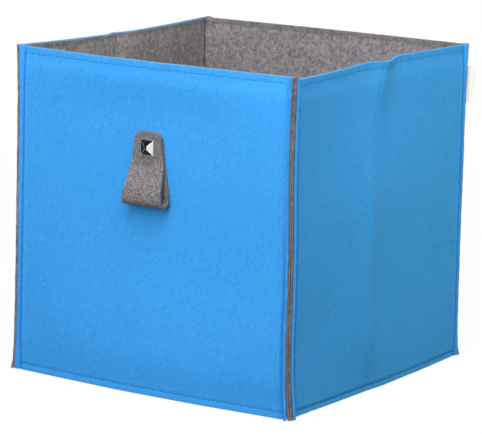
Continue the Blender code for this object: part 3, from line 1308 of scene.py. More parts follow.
    def heights(self, layer: Layer) -> np.ndarray:
        """Return the heights of a felt's rows.

        Args:
            layer: the felt.

        Returns:
            The heights, close together in the hems.
        """
        bottom = self.box.foot if layer.outer else self.box.bottom
        top = self.box.top - (self.box.rim_drop if layer.outer else self.lining_drop)
        low = np.linspace(bottom, bottom + self.HEM_ROOM, self.HEM_STEPS)
        high = np.linspace(top - self.HEM_ROOM, top, self.HEM_STEPS)
        return np.concatenate([low, np.linspace(low[-1], high[0], self.MIDDLE_STEPS)[1:-1], high])

    def relief(self, layer: Layer, along: np.ndarray, height: np.ndarray) -> np.ndarray:
        """Return how far a felt's middle line stands out of its depth at the seam.

        Args:
            layer: the felt.
            along: distances along the wall.
            height: heights, in a shape that fits along.

        Returns:
            The distance out.
        """
        hem, box = self.hem, self.box
        from_end = np.minimum(along, self.length - along)
        inside = smoothstep((from_end - hem.inside_from) / hem.inside_run)
        rim_row = box.top - hem.rise
        foot_row = box.foot + hem.foot_rise
        rim = hump(height - rim_row, hem.dip_width) * inside
        foot = hump(height - foot_row, hem.dip_width) * inside
        crease = along - self.bow.fold_line(height, self.length, box)
        sewn = hem.dips(along, height, self.length)
        if not layer.outer:
            above = smoothstep((height - rim_row) / hem.rise) * inside
            pressed = hem.press * sewn * hump(from_end - hem.side, 2.0 * hem.side_width)
            rise = hem.lining_dip * rim - hem.lining_lean * above - pressed
            pinch = hem.crease_pinch * hump(along - self.length / 2.0, hem.pinch_width)
            return rise + pinch if self.creased else rise
        step = smoothstep((from_end - hem.side - hem.ease_start) / hem.ease_run)
        below = smoothstep((rim_row - hem.ease_start - height) / hem.rim_run)
        up = height - foot_row - hem.ease_start
        slow = (1.0 - hem.foot_step) * smoothstep(up / hem.settle_run)
        eased = below * (hem.foot_step * smoothstep(up / hem.foot_run) + slow)
        share = hem.ridge_least + (1.0 - hem.ridge_least) * eased
        ridge = hem.ridge * hump(from_end - hem.ridge_from, hem.ridge_width) * share
        groove = sewn * hump(from_end - hem.side, hem.side_width)
        rise = layer.over * step * eased + ridge - groove - hem.dip * rim - hem.foot_dip * foot
        rise = rise + hem.flare * smoothstep((foot_row - height) / hem.foot_rise) * inside
        return rise - hem.crease_line * hump(crease, hem.crease_width) if self.creased else rise

    def groove_shade_share(self, layer: Layer, path: Path) -> np.ndarray:
        """Return how much painted shade the points of a felt get in the grooves beside the seams.

        Args:
            layer: the felt.
            path: its middle line in plan.

        Returns:
            Shares as rows by columns.
        """
        hem = self.hem
        along, height = np.meshgrid(path.along, self.heights(layer))
        from_end = np.minimum(along, self.length - along)
        deep = np.clip(hem.dips(along, height, self.length) / Hem.side_dip, 0.0, 1.0)
        return hem.shade * deep * hump(from_end - hem.side, hem.shade_width) * path.flat

    def place(self, layer: Layer, path: Path) -> np.ndarray:
        """Return the places of a felt's middle surface.

        Args:
            layer: the felt.
            path: its middle line in plan.

        Returns:
            Places as rows by columns by 3.
        """
        seam, box = self.seam, self.box
        heights = self.heights(layer)
        along = path.along[None, :] + 0.0 * heights[:, None]
        height = heights[:, None] + 0.0 * along
        depth = path.depth + path.flat * self.relief(layer, along, height)
        turn = 1.0 - 2.0 * path.end
        share = np.clip((path.out - seam.root) / (seam.reach - seam.root), 0.0, 1.0)
        lift = smoothstep(share)
        low = 1.0 - smoothstep((height - heights[0]) / seam.kick_run)
        tip = smoothstep((path.out - seam.tip_from) / seam.tip_run)
        reach = seam.fray * tip * (np.sin(height * 410.0 + 900.0 * layer.depth) + np.sin(height * 157.0))
        reach = reach - share * seam.narrowing(height, box)
        if layer.outer:
            loose = self._each(path.end, [corner.loose for corner in self.corners])
            closed = 1.0 - smoothstep((box.top - height) / seam.close_run)
            opened = seam.open_share * smoothstep(1.0 - height / seam.open_run)
            aside = loose * lift * (opened - closed)
            reach = reach - share * self._each(path.end, [corner.trim for corner in self.corners])
            height = height + seam.foot_lift * lift * low
        else:
            aside = lift * self._parting(path.end, height)
            longer = self._each(path.end, [corner.longer for corner in self.corners])
            reach = reach + seam.kick * tip * low + longer * share
            height = height - (box.bottom - seam.foot_gap) * lift * low
        along = along + turn * (aside - reach) / ROOT2
        depth = depth + (aside + reach) / ROOT2
        stand = depth + self.bow.at(along, height, self.length, box)
        plan = self.start + along[..., None] * self.along + stand[..., None] * self.out
        plan = plan + (lift * self._sway(height, path.end))[..., None] * self._side(path.end)
        height = self.bow.settle(along, height, self.length, box)
        return self.stance.move(np.concatenate([plan, height[..., None]], axis=2))

    @staticmethod
    def _each(end: np.ndarray, values: Sequence[float]) -> np.ndarray:
        """Return one value for the points at the first corner and another for the rest."""
        return np.where(end < 0.5, values[0], values[1])

    def _parting(self, end: np.ndarray, height: np.ndarray) -> np.ndarray:
        """Return how far the linings of a seam part.

        Args:
            end: 0 for points at the first corner and 1 at the last.
            height: their heights.

        Returns:
            The distances.
        """
        part, low, high = (
            self._each(end, [getattr(corner, name) for corner in self.corners])
            for name in ("part", "part_low", "part_high")
        )
        ease = self.seam.part_run
        return part * smoothstep((height - low + ease) / ease) * smoothstep((high + ease - height) / ease)

    def _side(self, end: np.ndarray) -> np.ndarray:
        """Return the direction across each seam.

        Args:
            end: 0 for points at the first corner and 1 at the last.

        Returns:
            Directions that are the same for both walls of a corner.
        """
        rib = self.out[None, :] - (1.0 - 2.0 * end)[:, None] * self.along[None, :]
        rib = rib / ROOT2
        return np.stack([-rib[:, 1], rib[:, 0]], axis=1)

    def _sway(self, height: np.ndarray, end: np.ndarray) -> np.ndarray:
        """Return how far each seam sways to the side.

        Args:
            height: heights.
            end: 0 for points at the first corner and 1 at the last.

        Returns:
            The distances.
        """
        phase = self._each(end, [4.0 * corner.x + 2.2 * corner.y for corner in self.corners])
        tilt = self._each(end, [corner.tilt for corner in self.corners])
        wave = np.sin(height * 23.0 + phase) + 0.6 * np.sin(height * 57.0 + 2.0 * phase)
        near_rim = np.exp(np.minimum(height - self.box.top, 0.0) / self.seam.tilt_run)
        return self.seam.sway * wave + tilt * near_rim

    def surface(self, layer: Layer, along: np.ndarray, height: np.ndarray, lift: float) -> np.ndarray:
        """Return places over the flat part of a felt.

        Args:
            layer: the felt.
            along: distances along the wall.
            height: heights.
            lift: the distance out of the felt's middle surface.

        Returns:
            The places.
        """
        stand = layer.depth + lift + self.relief(layer, along, height)
        return self.stand_out(along, height, stand)

    def stand_out(self, along: np.ndarray, height: np.ndarray, depth: np.ndarray) -> np.ndarray:
        """Return places that are bowed with the wall and moved with the corners.

        Args:
            along: distances along the wall.
            height: heights.
            depth: distances out of its inner face.

        Returns:
            The places.
        """
        stand = depth + self.bow.at(along, height, self.length, self.box)
        plan = self.start + along[..., None] * self.along + stand[..., None] * self.out
        settled = self.bow.settle(along, height, self.length, self.box)
        return self.stance.move(np.concatenate([plan, settled[..., None]], axis=-1))


def walls_of(stance: Stance) -> dict[str, Wall]:
    """Return the four walls, each running on from the one before it.

    Args:
        stance: how the box stands.

    Returns:
        The walls by name.
    """
    x, y = stance.box.inner_x, stance.box.inner_y
    front = Bow(
        rim=0.0042,
        foot=0.0060,
        rim_from=0.262,
        foot_from=0.176,
        ripple=0.00022,
        phase=0.4,
        sag=0.0006,
        drop=0.0008,
    )
    right = Bow(
        rim=-0.0085,
        foot=0.0036,
        rim_from=0.17,
        foot_from=0.16,
        crease_rim=0.0044,
        crease_fold=-0.0046,
        crease_after=0.012,
        crease_reach=0.036,
        crease_back=0.013,
        crease_foot=-0.24,
        crease_fade=0.75,
        crease_set=-0.024,
        phase=1.9,
        crease_lean=0.0085,
        drop=0.0028,
        dimple=0.0017,
        draw=0.0017,
    )
    rear = Bow(rim=0.0035, foot=0.0030, rim_from=0.16, foot_from=0.15, phase=3.1)
    left = Bow(
        rim=-0.0050,
        foot=0.0034,
        rim_from=0.10,
        foot_from=0.16,
        crease_rim=0.0055,
        crease_fold=0.0036,
        phase=5.2,
        sag=0.0018,
    )
    plain, fading = Hem(side_dip=0.0020), Hem(side_dip=0.0022, fade_from=0.12)
    drawn = Hem(foot_rise=0.0050, foot_step=0.7, foot_dip=0.0007, side_dip=0.0006, far_dip=0.0020)
    parted = replace(drawn, crease_pinch=0.0)
    return {
        "front": Wall("front", stance, (-x, -y), (1, 0), ("front_left", "front_right"), front, 0.0, fading),
        "right": Wall("right", stance, (x, -y), (0, 1), ("front_right", "rear_right"), right, 0.0, drawn),
        "rear": Wall("rear", stance, (x, y), (-1, 0), ("rear_right", "rear_left"), rear, -0.0006, plain),
        "left": Wall("left", stance, (-x, y), (0, -1), ("rear_left", "front_left"), left, 0.0006, parted),
    }


@dataclass(frozen=True)
class Joint:
    """Two bodies that a felt bends between, and where it does."""

    first: str
    second: str
    start: tuple[float, float, float]
    end: tuple[float, float, float]


class Hold:
    """Ties a riding piece to its body, and hides the CAD nodes that a piece stands for."""

    @staticmethod
    def ride(obj: bpy.types.Object, body: str, *nodes: str) -> None:
        """Let a piece ride on a body and stand for CAD nodes.

        Args:
            obj: the piece.
            body: the body's name.
            nodes: the CAD nodes.
        """
        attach(obj, body)
        if nodes:
            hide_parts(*nodes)
        LOG.info("%s rides on %s", obj.name, body)

    @staticmethod
    def bend(obj: bpy.types.Object, joint: Joint, *nodes: str) -> None:
        """Put a piece's place into its mesh, hide the CAD nodes that it stands for, and log the joint that it
        bends at.

        Args:
            obj: the piece.
            joint: the joint.
            nodes: the CAD nodes.
        """
        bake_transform(obj)
        if nodes:
            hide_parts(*nodes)
        LOG.info("%s bends between %s and %s", obj.name, joint.first, joint.second)


@dataclass
class FeltWalls:
    """The felts and cards of the four walls."""

    stance: Stance
    walls: dict[str, Wall]
    split: float = 0.024
    bend_from: float = 0.0048
    bend_to: float = 0.0205
    crease_bend: float = 0.0095
    card_rows: int = 40
    card_columns: int = 48

    @property
    def box(self) -> BoxFrame:
        """Return the box's sizes."""
        return self.stance.box

    def build(self) -> None:
        """Build every wall's felts and cards."""
        for wall in self.walls.values():
            for layer in (wall.outer, wall.lining):
                if wall.creased:
                    self.side_felt(wall, layer)
                else:
                    self.end_felt(wall, layer)
            self.cards(wall)

    def sheet(
        self, name: str, wall: Wall, layer: Layer, path: Path, raw: Sequence[Rim] = ALL_RIMS
    ) -> bpy.types.Object:
        """Make one felt from its middle line.

        Args:
            name: the piece's name.
            wall: the wall that it belongs to.
            layer: which of the wall's felts it is.
            path: its middle line.
            raw: its cut sides.

        Returns:
            The felt.
        """
        points = wall.place(layer, path)
        # a lining's band below its rim gets painted shade
        pressed = math.inf if layer.outer else self.box.top - wall.hem.band
        # outer felts get painted shade in the grooves beside the seams
        sewn = wall.groove_shade_share(layer, path) if layer.outer else None
        obj = SheetMaker().make(name, points, layer.thick, raw, pressed, sewn)
        Bench.dress(obj, layer.stock)
        heights = wall.heights(layer)
        return obj

    def end_felt(self, wall: Wall, layer: Layer) -> None:
        """Build a felt of the front or rear wall, from seam to seam."""
        felt = self.sheet(f"{wall.name}_{layer.word}", wall, layer, wall.path(layer, self.split))
        Hold.ride(felt, f"{wall.name}_wall", f"{wall.name}_{layer.node}")

    def corner_joint(self, wall: Wall, end: str) -> Joint:
        """Return where a side wall's felt bends beside its seam with an end wall.

        Args:
            wall: the side wall.
            end: the end wall, front or rear.

        Returns:
            The joint.
        """
        sign = -1.0 if end == "front" else 1.0
        corner_y = sign * self.box.inner_y
        x = float(wall.start[0])
        start = (x, corner_y - sign * self.bend_from, 0.0)
        stop = (x, corner_y - sign * self.bend_to, 0.0)
        return Joint(f"{end}_wall", f"{wall.name}_{end}_half", start, stop)

    def crease_joint(self, wall: Wall) -> Joint:
        """Return where a side wall's felt bends at its crease.

        Args:
            wall: the side wall.

        Returns:
            The joint.
        """
        x = float(wall.start[0])
        first, second = f"{wall.name}_front_half", f"{wall.name}_rear_half"
        return Joint(first, second, (x, -self.crease_bend, 0.0), (x, self.crease_bend, 0.0))

    def ends_of(self, wall: Wall) -> tuple[str, str]:
        """Return the end walls at a side wall's start and end."""
        return ("front", "rear") if wall.start[1] < 0.0 else ("rear", "front")

    def side_felt(self, wall: Wall, layer: Layer) -> None:
        """Build a felt of a side wall: a strip at each seam and what runs between them.

        The right wall's middle is one piece that bends at its crease. The left
        wall's crease is the linkage's open pivot, so its middle is two pieces.

        Args:
            wall: the side wall.
            layer: the felt.
        """
        path = wall.path(layer, self.split)
        first, last = self.ends_of(wall)
        far = wall.length - self.split
        strips = (
            (first, path.part(-1.0, self.split), (Rim.START, Rim.LOW, Rim.HIGH)),
            (last, path.part(far, wall.length + 1.0), (Rim.END, Rim.LOW, Rim.HIGH)),
        )
        for end, part, raw in strips:
            strip = self.sheet(f"{wall.name}_{end}_corner_{layer.word}", wall, layer, part, raw)
            Hold.bend(strip, self.corner_joint(wall, end), f"{wall.name}_{end}_{layer.seam_node}")
        middle = path.part(self.split, far)
        if wall.name == "right":
            felt = self.sheet(f"right_{layer.word}", wall, layer, middle, (Rim.LOW, Rim.HIGH))
            nodes = [f"right_{end}_{layer.node}" for end in (first, last)]
            Hold.bend(felt, self.crease_joint(wall), *nodes)
            return
        fold = wall.length / 2.0
        for end, part in ((first, middle.part(0.0, fold)), (last, middle.part(fold, wall.length))):
            felt = self.sheet(f"left_{end}_{layer.word}", wall, layer, part, (Rim.LOW, Rim.HIGH))
            Hold.ride(felt, f"left_{end}_half", f"left_{end}_{layer.node}")

    def cards(self, wall: Wall) -> None:
        """Build the card or cards between a wall's felts.

        Args:
            wall: the wall.
        """
        box = self.box
        depth = box.felt + box.clear + box.board / 2.0
        heights = np.linspace(box.board_low, box.board_high, self.card_rows)
        if wall.creased:
            names = [f"{wall.name}_{end}" for end in self.ends_of(wall)]
        else:
            names = [wall.name]
        for name in names:
            low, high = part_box(f"{name}_board")
            spans = [(corner[:2] - wall.start) @ wall.along for corner in map(np.array, (low, high))]
            along = np.linspace(min(spans), max(spans), self.card_columns)
            spread, height = np.meshgrid(along, heights)
            points = wall.stand_out(spread, height, depth + 0.0 * spread)
            card = SheetMaker(edge=0.0).make(f"{name}_card", points, box.board)
            Bench.dress(card, Stock.BOARD)
            body = f"{name}_half" if wall.creased else f"{name}_wall"
            Hold.ride(card, body, f"{name}_board")


@dataclass
class Stitches:
    """Rows of single stitches along the hems and beside the seams."""

    felts: FeltWalls
    pitch: float = 0.0042
    length: float = 0.0031
    radius: float = 0.00035
    lift: float = 0.00004
    sunk: float = 0.00024
    slimmed: float = 0.45
    buried: float = 1.2
    probe: float = 0.0005
    stand_off: float = 0.01
    smooth: float = 60.0

    def build(self) -> None:
        """Sew every wall."""
        single = self.single()
        for wall in self.felts.walls.values():
            if wall.creased:
                self.sew_side(wall, single)
            else:
                places = self.rows(wall, -1.0, wall.length + 1.0)
                row = self.sewn(wall.name, wall, places, single)
                Hold.ride(row, f"{wall.name}_wall", f"{wall.name}_stitching")
        bpy.data.objects.remove(single, do_unlink=True)

    def single(self) -> bpy.types.Object:
        """Model one stitch: a short thread whose ends dip into the felt.

        Returns:
            The stitch, lying along x.
        """
        Bench.clear()
        turn = (0.0, math.radians(90.0), 0.0)
        bpy.ops.mesh.primitive_cylinder_add(vertices=6, radius=self.radius, depth=self.length, rotation=turn)
        obj = Bench.named("single_stitch")
        Bench.settle(obj)
        work = Bench.edit(obj)
        Bench.pick(obj, [e for e in work.edges if abs(e.verts[0].co.x - e.verts[1].co.x) > self.radius])
        bpy.ops.mesh.subdivide(number_cuts=4)
        work = bmesh.from_edit_mesh(obj.data)
        for vert in work.verts:
            share = 2.0 * vert.co.x / self.length
            slim = 1.0 - self.slimmed * share**4
            vert.co.y *= slim
            vert.co.z = vert.co.z * slim - self.buried * self.radius * share * share
        bmesh.update_edit_mesh(obj.data)
        bpy.ops.object.mode_set(mode="OBJECT")
        Bench.smooth(obj, self.smooth)
        return obj

    def rows(self, wall: Wall, first: float, last: float) -> list[tuple[float, float, bool]]:
        """Return the stitches of a wall between two distances along it.

        Args:
            wall: the wall.
            first: the first distance.
            last: the last distance.

        Returns:
            For each stitch its distance along, its height and whether it is upright.
        """
        box, hem = wall.box, wall.hem
        low, high = box.foot + hem.foot_rise, box.top - hem.rise
        edge = hem.side
        across = int((wall.length - 2.0 * edge) / self.pitch)
        up = int((high - low) / self.pitch)
        found = []
        for index in range(across):
            along = edge + (index + 0.5) * (wall.length - 2.0 * edge) / across
            found += [(along, low, False), (along, high, False)]
        for index in range(up):
            height = low + (index + 0.5) * (high - low) / up
            found += [(edge, height, True), (wall.length - edge, height, True)]
        return [item for item in found if first <= item[0] <= last]

    def sewn(
        self, name: str, wall: Wall, places: list[tuple[float, float, bool]], single: bpy.types.Object
    ) -> bpy.types.Object:
        """Copy the single stitch to its places as one piece, each dropped onto the outer felt.

        Args:
            name: the name of the felt's part of the wall.
            wall: the wall that is sewn.
            places: the stitches' places.
            single: the modelled stitch.

        Returns:
            The sewn row.
        """
        along = np.array([item[0] for item in places])
        height = np.array([item[1] for item in places])
        lift = self.felts.box.felt / 2.0 + self.lift
        middle = wall.surface(wall.outer, along, height, lift)
        across = wall.surface(wall.outer, along + self.probe, height, lift) - middle
        upward = wall.surface(wall.outer, along, height + self.probe, lift) - middle
        felt = bpy.data.objects[f"{name}_{wall.outer.word}"]
        inward = Vector((*-wall.out, 0.0))
        work = bmesh.new()
        for index, (_, _, upright) in enumerate(places):
            hit, ground, _, _ = felt.ray_cast(Vector(middle[index]) - self.stand_off * inward, inward)
            deep = self.sunk if upright else -self.lift
            ground = ground + deep * inward if hit else Vector(middle[index])
            run = Vector(upward[index] if upright else across[index]).normalized()
            side = Vector(across[index] if upright else upward[index])
            face = run.cross(side).normalized()
            if face.dot(Vector((*wall.out, 0.0))) < 0.0:
                face.negate()
            turn = Matrix((run, face.cross(run), face)).transposed().to_4x4()
            start = len(work.verts)
            work.from_mesh(single.data)
            work.verts.ensure_lookup_table()
            bmesh.ops.transform(work, matrix=Matrix.Translation(ground) @ turn, verts=work.verts[start:])
        mesh = bpy.data.meshes.new(f"{name}_stitches")
        work.to_mesh(mesh)
        work.free()
        obj = bpy.data.objects.new(mesh.name, mesh)
        bpy.context.scene.collection.objects.link(obj)
        Bench.smooth(obj, self.smooth)
        Bench.dress(obj, Stock.BLUE_THREAD)
        return obj

    def sew_side(self, wall: Wall, single: bpy.types.Object) -> None:
        """Sew a side wall in the same parts as its felts.

        Args:
            wall: the side wall.
            single: the modelled stitch.
        """
        felts = self.felts
        first, last = felts.ends_of(wall)
        split, far, fold = felts.split, wall.length - felts.split, wall.length / 2.0
        for end, low, high in ((first, -1.0, split), (last, far, wall.length + 1.0)):
            row = self.sewn(f"{wall.name}_{end}_corner", wall, self.rows(wall, low, high), single)
            Hold.bend(row, felts.corner_joint(wall, end))
        if wall.name == "right":
            row = self.sewn("right", wall, self.rows(wall, split, far), single)
            Hold.bend(row, felts.crease_joint(wall), "right_front_stitching", "right_rear_stitching")
            return
        for end, low, high in ((first, split, fold), (last, fold, far)):
            row = self.sewn(f"left_{end}", wall, self.rows(wall, low, high), single)
            Hold.ride(row, f"left_{end}_half", f"left_{end}_stitching")


@dataclass
class Base:
    """The two halves of the base: an under felt, a card and a lining each."""

    felts: FeltWalls
    tuck: float = 0.0072
    follow_run: float = 0.06
    set_back: float = 0.007
    soft: float = 0.0004
    steps: int = 46

    def build(self) -> None:
        """Build both halves."""
        for half in ("base_front", "base_rear"):
            self.layer(half, "felt", Stock.GREY_FELT, "under_felt", self.tuck)
            self.layer(half, "board", Stock.BOARD, "card", 0.0)
            self.layer(half, "lining", Stock.GREY_FELT, "top_felt", 0.0)

    def layer(self, half: str, node: str, stock: Stock, word: str, tuck: float) -> None:
        """Build one layer of a half, its outer sides bowed with the walls.

        A tucked layer keeps its end straight, so that it swings down inside the outer felts.

        Args:
            half: the half's name.
            node: the CAD node's last word.
            stock: its material.
            word: the piece's last word.
            tuck: how far its outer sides lie behind the CAD node's.
        """
        low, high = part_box(f"{half}_{node}")
        end = "front" if half == "base_front" else "rear"
        outer = -1.0 if end == "front" else 1.0
        edge, fold = (low.y, high.y) if outer < 0.0 else (high.y, low.y)
        share = 0.5 - 0.5 * np.cos(np.linspace(0.0, math.pi, 2 * self.steps))
        across = low.x + tuck + (high.x - low.x - 2.0 * tuck) * share
        x, y = np.meshgrid(across, np.linspace(edge - outer * tuck, fold, self.steps))
        box, walls = self.felts.box, self.felts.walls
        level = np.full_like(x, box.bottom)
        bow_end = self.bow(walls[end], x, y, level)
        side = np.where(x > 0.0, self.bow(walls["right"], x, y, level), self.bow(walls["left"], x, y, level))
        near_end = smoothstep(1.0 - np.abs(y - edge + outer * tuck) / self.follow_run)
        near_side = smoothstep(1.0 - (high.x - tuck - np.abs(x)) / self.follow_run)
        y = y if tuck else y + outer * bow_end * near_end
        x = x + np.sign(x) * side * near_side
        if tuck:
            right = walls["right"]
            drawn = right.bow.settle(y - right.start[1], 0.0 * y, right.length, box)
            x = x - self.set_back * near_side * (x > 0.0) * drawn / right.bow.draw
        thick = high.z - low.z
        z = np.full_like(x, low.z + thick / 2.0)
        points = self.felts.stance.move(np.stack([x, y, z], axis=2))
        soft = self.soft if stock is Stock.GREY_FELT else 0.0
        obj = SheetMaker(edge=soft).make(f"{half}_{word}", points, thick)
        Bench.dress(obj, stock)
        if stock is Stock.GREY_FELT:
            high.x - low.x - 2.0 * tuck
            high.y - low.y - tuck
        Hold.ride(obj, f"{half}_half", f"{half}_{node}")

    @staticmethod
    def bow(wall: Wall, x: np.ndarray, y: np.ndarray, level: np.ndarray) -> np.ndarray:
        """Return how far a wall stands out beside points of the base."""
        along = (x - wall.start[0]) * wall.along[0] + (y - wall.start[1]) * wall.along[1]
        return wall.bow.at(along, level, wall.length, wall.box)


@dataclass
class PullLoop:
    """The felt strap, its stud and its rivet."""

    OUTWARD = (math.radians(90.0), 0.0, 0.0)
    box: BoxFrame
    hinge: Sequence[float]
    corner: float = 0.0066
    top_rise: float = 0.0011
    back_spread: float = 0.0016
    stand: float = 0.0028
    fold_rise: float = 0.0055
    slack_run: float = 0.12
    slack_to: float = 0.2
    bend_above: float = 0.0030
    bend_below: float = 0.0055
    stud_rim: float = 0.0008
    stud_inset: float = 0.0005
    stud_flat: float = 0.21
    head: float = 0.0008
    head_round: float = 0.0006
    shank: float = 0.002
    hole: float = 0.0023
    leg_steps: int = 22
    fold_steps: int = 19
    end_steps: int = 16
    width_steps: int = 15

    def build(self) -> None:
        """Build the strap, the stud, the rivet and the washer."""
        self.strap()
        self.stud()
        self.rivet()
        self.washer()

    def strap_line(self) -> np.ndarray:
        """Lay out the strap's middle line, from its front end round the loop to its back end.

        Returns:
            Pairs of a distance out of the wall and a height.
        """
        face = -self.box.half_depth
        half = self.box.felt / 2.0
        end_low, end_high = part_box("strap_front_end")
        back_low, back_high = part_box("strap_back_end")
        loop_low, loop_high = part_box("strap_loop")
        front_out = face - (end_low.y + end_high.y) / 2.0
        back_out = face - (back_low.y + back_high.y) / 2.0
        reach = face - loop_low.y - half
        stand = self.stand + half
        fold = loop_low.z + half + self.fold_rise
        share = np.linspace(0.0, 1.0, self.leg_steps)
        turn = np.linspace(0.0, math.pi, self.fold_steps)[1:-1]
        ends = np.linspace(end_high.z + self.top_rise, loop_high.z, self.end_steps)
        front_fall = front_out + (reach - front_out) * smoothstep(share)
        front_leg = np.stack([front_fall, loop_high.z + (fold - loop_high.z) * share], 1)
        round_out = (reach + stand) / 2.0 + (reach - stand) / 2.0 * np.cos(turn)
        bottom = np.stack([round_out, fold - self.fold_rise * np.sin(turn)], 1)
        back_climb = stand + (back_out - stand) * smoothstep(share)
        back_leg = np.stack([back_climb, fold + (loop_high.z - fold) * share], 1)
        front_end = np.stack([front_out + 0.0 * ends, ends], 1)[:-1]
        back_end = np.stack([back_out + 0.0 * ends, ends[::-1]], 1)[1:]
        return np.concatenate([front_end, front_leg, bottom, back_leg, back_end])

    def half_width(self, height: np.ndarray) -> np.ndarray:
        """Return half the strap's width, with its top corners rounded.

        Args:
            height: heights.

        Returns:
            Half the width at each height.
        """
        end_low, end_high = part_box("strap_front_end")
        loop_low, loop_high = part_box("strap_loop")
        slope = (loop_high.x - end_high.x) / (end_low.z - loop_low.z)
        top = end_high.x - slope * (end_high.z - end_low.z)
        wide = top + slope * (end_high.z - height)
        into = np.clip(self.corner - (end_high.z + self.top_rise - height), 0.0, self.corner)
        return wide - self.corner + np.sqrt(np.maximum(self.corner**2 - into**2, 0.0))

    def back_share(self, line: np.ndarray) -> np.ndarray:
        """Return how far each point of the strap's line is into its slack back leg.

        Args:
            line: the strap's middle line.

        Returns:
            Shares.
        """
        low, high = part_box("strap_loop")
        bottom = int(np.argmin(line[:, 1]))
        after = np.arange(len(line)) >= bottom
        rise = np.clip((line[:, 1] - low.z) / (high.z - low.z), 0.0, 1.0)
        taken_up = smoothstep((rise - self.slack_to) / (1.0 - self.slack_to))
        return np.where(after, smoothstep(rise / self.slack_run) * (1.0 - taken_up), 0.0)

    def strap(self) -> None:
        """Build the strap as one strip that is folded into a loop."""
        line = self.strap_line()
        across = np.sin(np.linspace(-0.5, 0.5, self.width_steps) * math.pi)
        wide = self.half_width(line[:, 1]) + self.back_spread * self.back_share(line)
        x = across[None, :] * wide[:, None]
        y = -self.box.half_depth - line[:, 0][:, None] + 0.0 * x
        z = line[:, 1][:, None] + 0.0 * x
        points = np.stack([x, y, z], axis=2)
        obj = SheetMaker(edge=0.0005).make("strap_cloth", points, self.box.felt)
        Bench.dress(obj, Stock.STRAP_FELT)
        lengths = np.hypot(*np.diff(line, axis=0).T)
        area = float(((wide[1:] + wide[:-1]) * lengths).sum())
        _, out, height = self.hinge
        above, below = (0.0, out, height + self.bend_above), (0.0, out, height - self.bend_below)
        joint = Joint("handle_tab", "handle_loop", above, below)
        Hold.bend(obj, joint, "strap_front_end", "strap_back_end", "strap_loop")

    def stud(self) -> None:
        """Model the square stud: a thin rim with a low pyramid that ends in a small flat."""
        low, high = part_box("stud_cap")
        size = high.x - low.x
        rim, peak = self.stud_rim, high.y - low.y - self.stud_rim
        middle = ((low.x + high.x) / 2.0, high.y - rim / 2.0, (low.z + high.z) / 2.0)
        Bench.clear()
        bpy.ops.mesh.primitive_cube_add(size=1.0, location=middle, scale=(size, rim, size))
        obj = Bench.named("stud_pyramid")
        Bench.settle(obj)
        work = Bench.edit(obj)
        Bench.pick(obj, [face for face in work.faces if face.normal.y < -0.9])
        bpy.ops.mesh.inset(thickness=self.stud_inset, depth=0.0)
        bpy.ops.mesh.extrude_region_move(TRANSFORM_OT_translate={"value": (0.0, -peak, 0.0)})
        shrunk = (self.stud_flat, 1.0, self.stud_flat)
        bpy.ops.transform.resize(value=shrunk, center_override=(middle[0], low.y, middle[2]))
        bpy.ops.object.mode_set(mode="OBJECT")
        Bench.round_edges(obj, width=0.0003, segments=4, angle=8.0)
        Bench.face_out(obj)
        Bench.smooth(obj, 12.0)
        Bench.dress(obj, Stock.BRIGHT_STEEL)
        Hold.ride(obj, "handle_tab", "stud_cap")

    def rivet(self) -> None:
        """Model the rivet: a barrel through the wall with a domed head inside the box."""
        low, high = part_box("rivet_post")
        head = self.head
        middle = (0.0, high.y - head / 2.0, (low.z + high.z) / 2.0)
        Bench.clear()
        radius = (high.x - low.x) / 2.0
        bpy.ops.mesh.primitive_cylinder_add(
            vertices=32, radius=radius, depth=head, location=middle, rotation=self.OUTWARD
        )
        obj = Bench.named("rivet_barrel")
        Bench.settle(obj)
        work = Bench.edit(obj)
        Bench.pick(obj, [face for face in work.faces if face.normal.y < -0.9])
        bpy.ops.mesh.inset(thickness=radius - self.shank, depth=0.0)
        bpy.ops.mesh.extrude_region_move(TRANSFORM_OT_translate={"value": (0.0, low.y - high.y + head, 0.0)})
        bpy.ops.mesh.select_all(action="DESELECT")
        work = bmesh.from_edit_mesh(obj.data)
        Bench.pick(obj, [e for e in work.edges if all(v.co.y > high.y - 1e-5 for v in e.verts)])
        bpy.ops.mesh.bevel(offset=self.head_round, segments=4, affect="EDGES")
        bpy.ops.object.mode_set(mode="OBJECT")
        Bench.face_out(obj)
        Bench.smooth(obj, 35.0)
        Bench.dress(obj, Stock.BRIGHT_STEEL)
        Hold.ride(obj, "handle_tab", "rivet_post")

    def washer(self) -> None:
        """Model the washer: a ring with rounded edges."""
        low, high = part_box("rivet_washer")
        radius = (high.x - low.x) / 2.0
        thick = high.y - low.y
        middle = (0.0, (low.y + high.y) / 2.0, (low.z + high.z) / 2.0)
        Bench.clear()
        bpy.ops.mesh.primitive_circle_add(
            vertices=40, radius=radius, fill_type="NOTHING", location=middle, rotation=self.OUTWARD
        )
        obj = Bench.named("washer_ring")
        Bench.settle(obj)
        work = Bench.edit(obj)
        Bench.pick(obj, work.edges)
        bpy.ops.mesh.extrude_edges_move()
        share = self.hole / radius
        bpy.ops.transform.resize(value=(share, 1.0, share), center_override=middle)
        bpy.ops.object.mode_set(mode="OBJECT")
        Bench.modify(obj, "SOLIDIFY", thickness=thick, offset=0.0)
        Bench.face_out(obj)
        Bench.round_edges(obj, width=0.0002, segments=2, angle=60.0)
        Bench.smooth(obj, 35.0)
        Bench.dress(obj, Stock.BRIGHT_STEEL)
        Hold.ride(obj, "handle_tab", "rivet_washer")


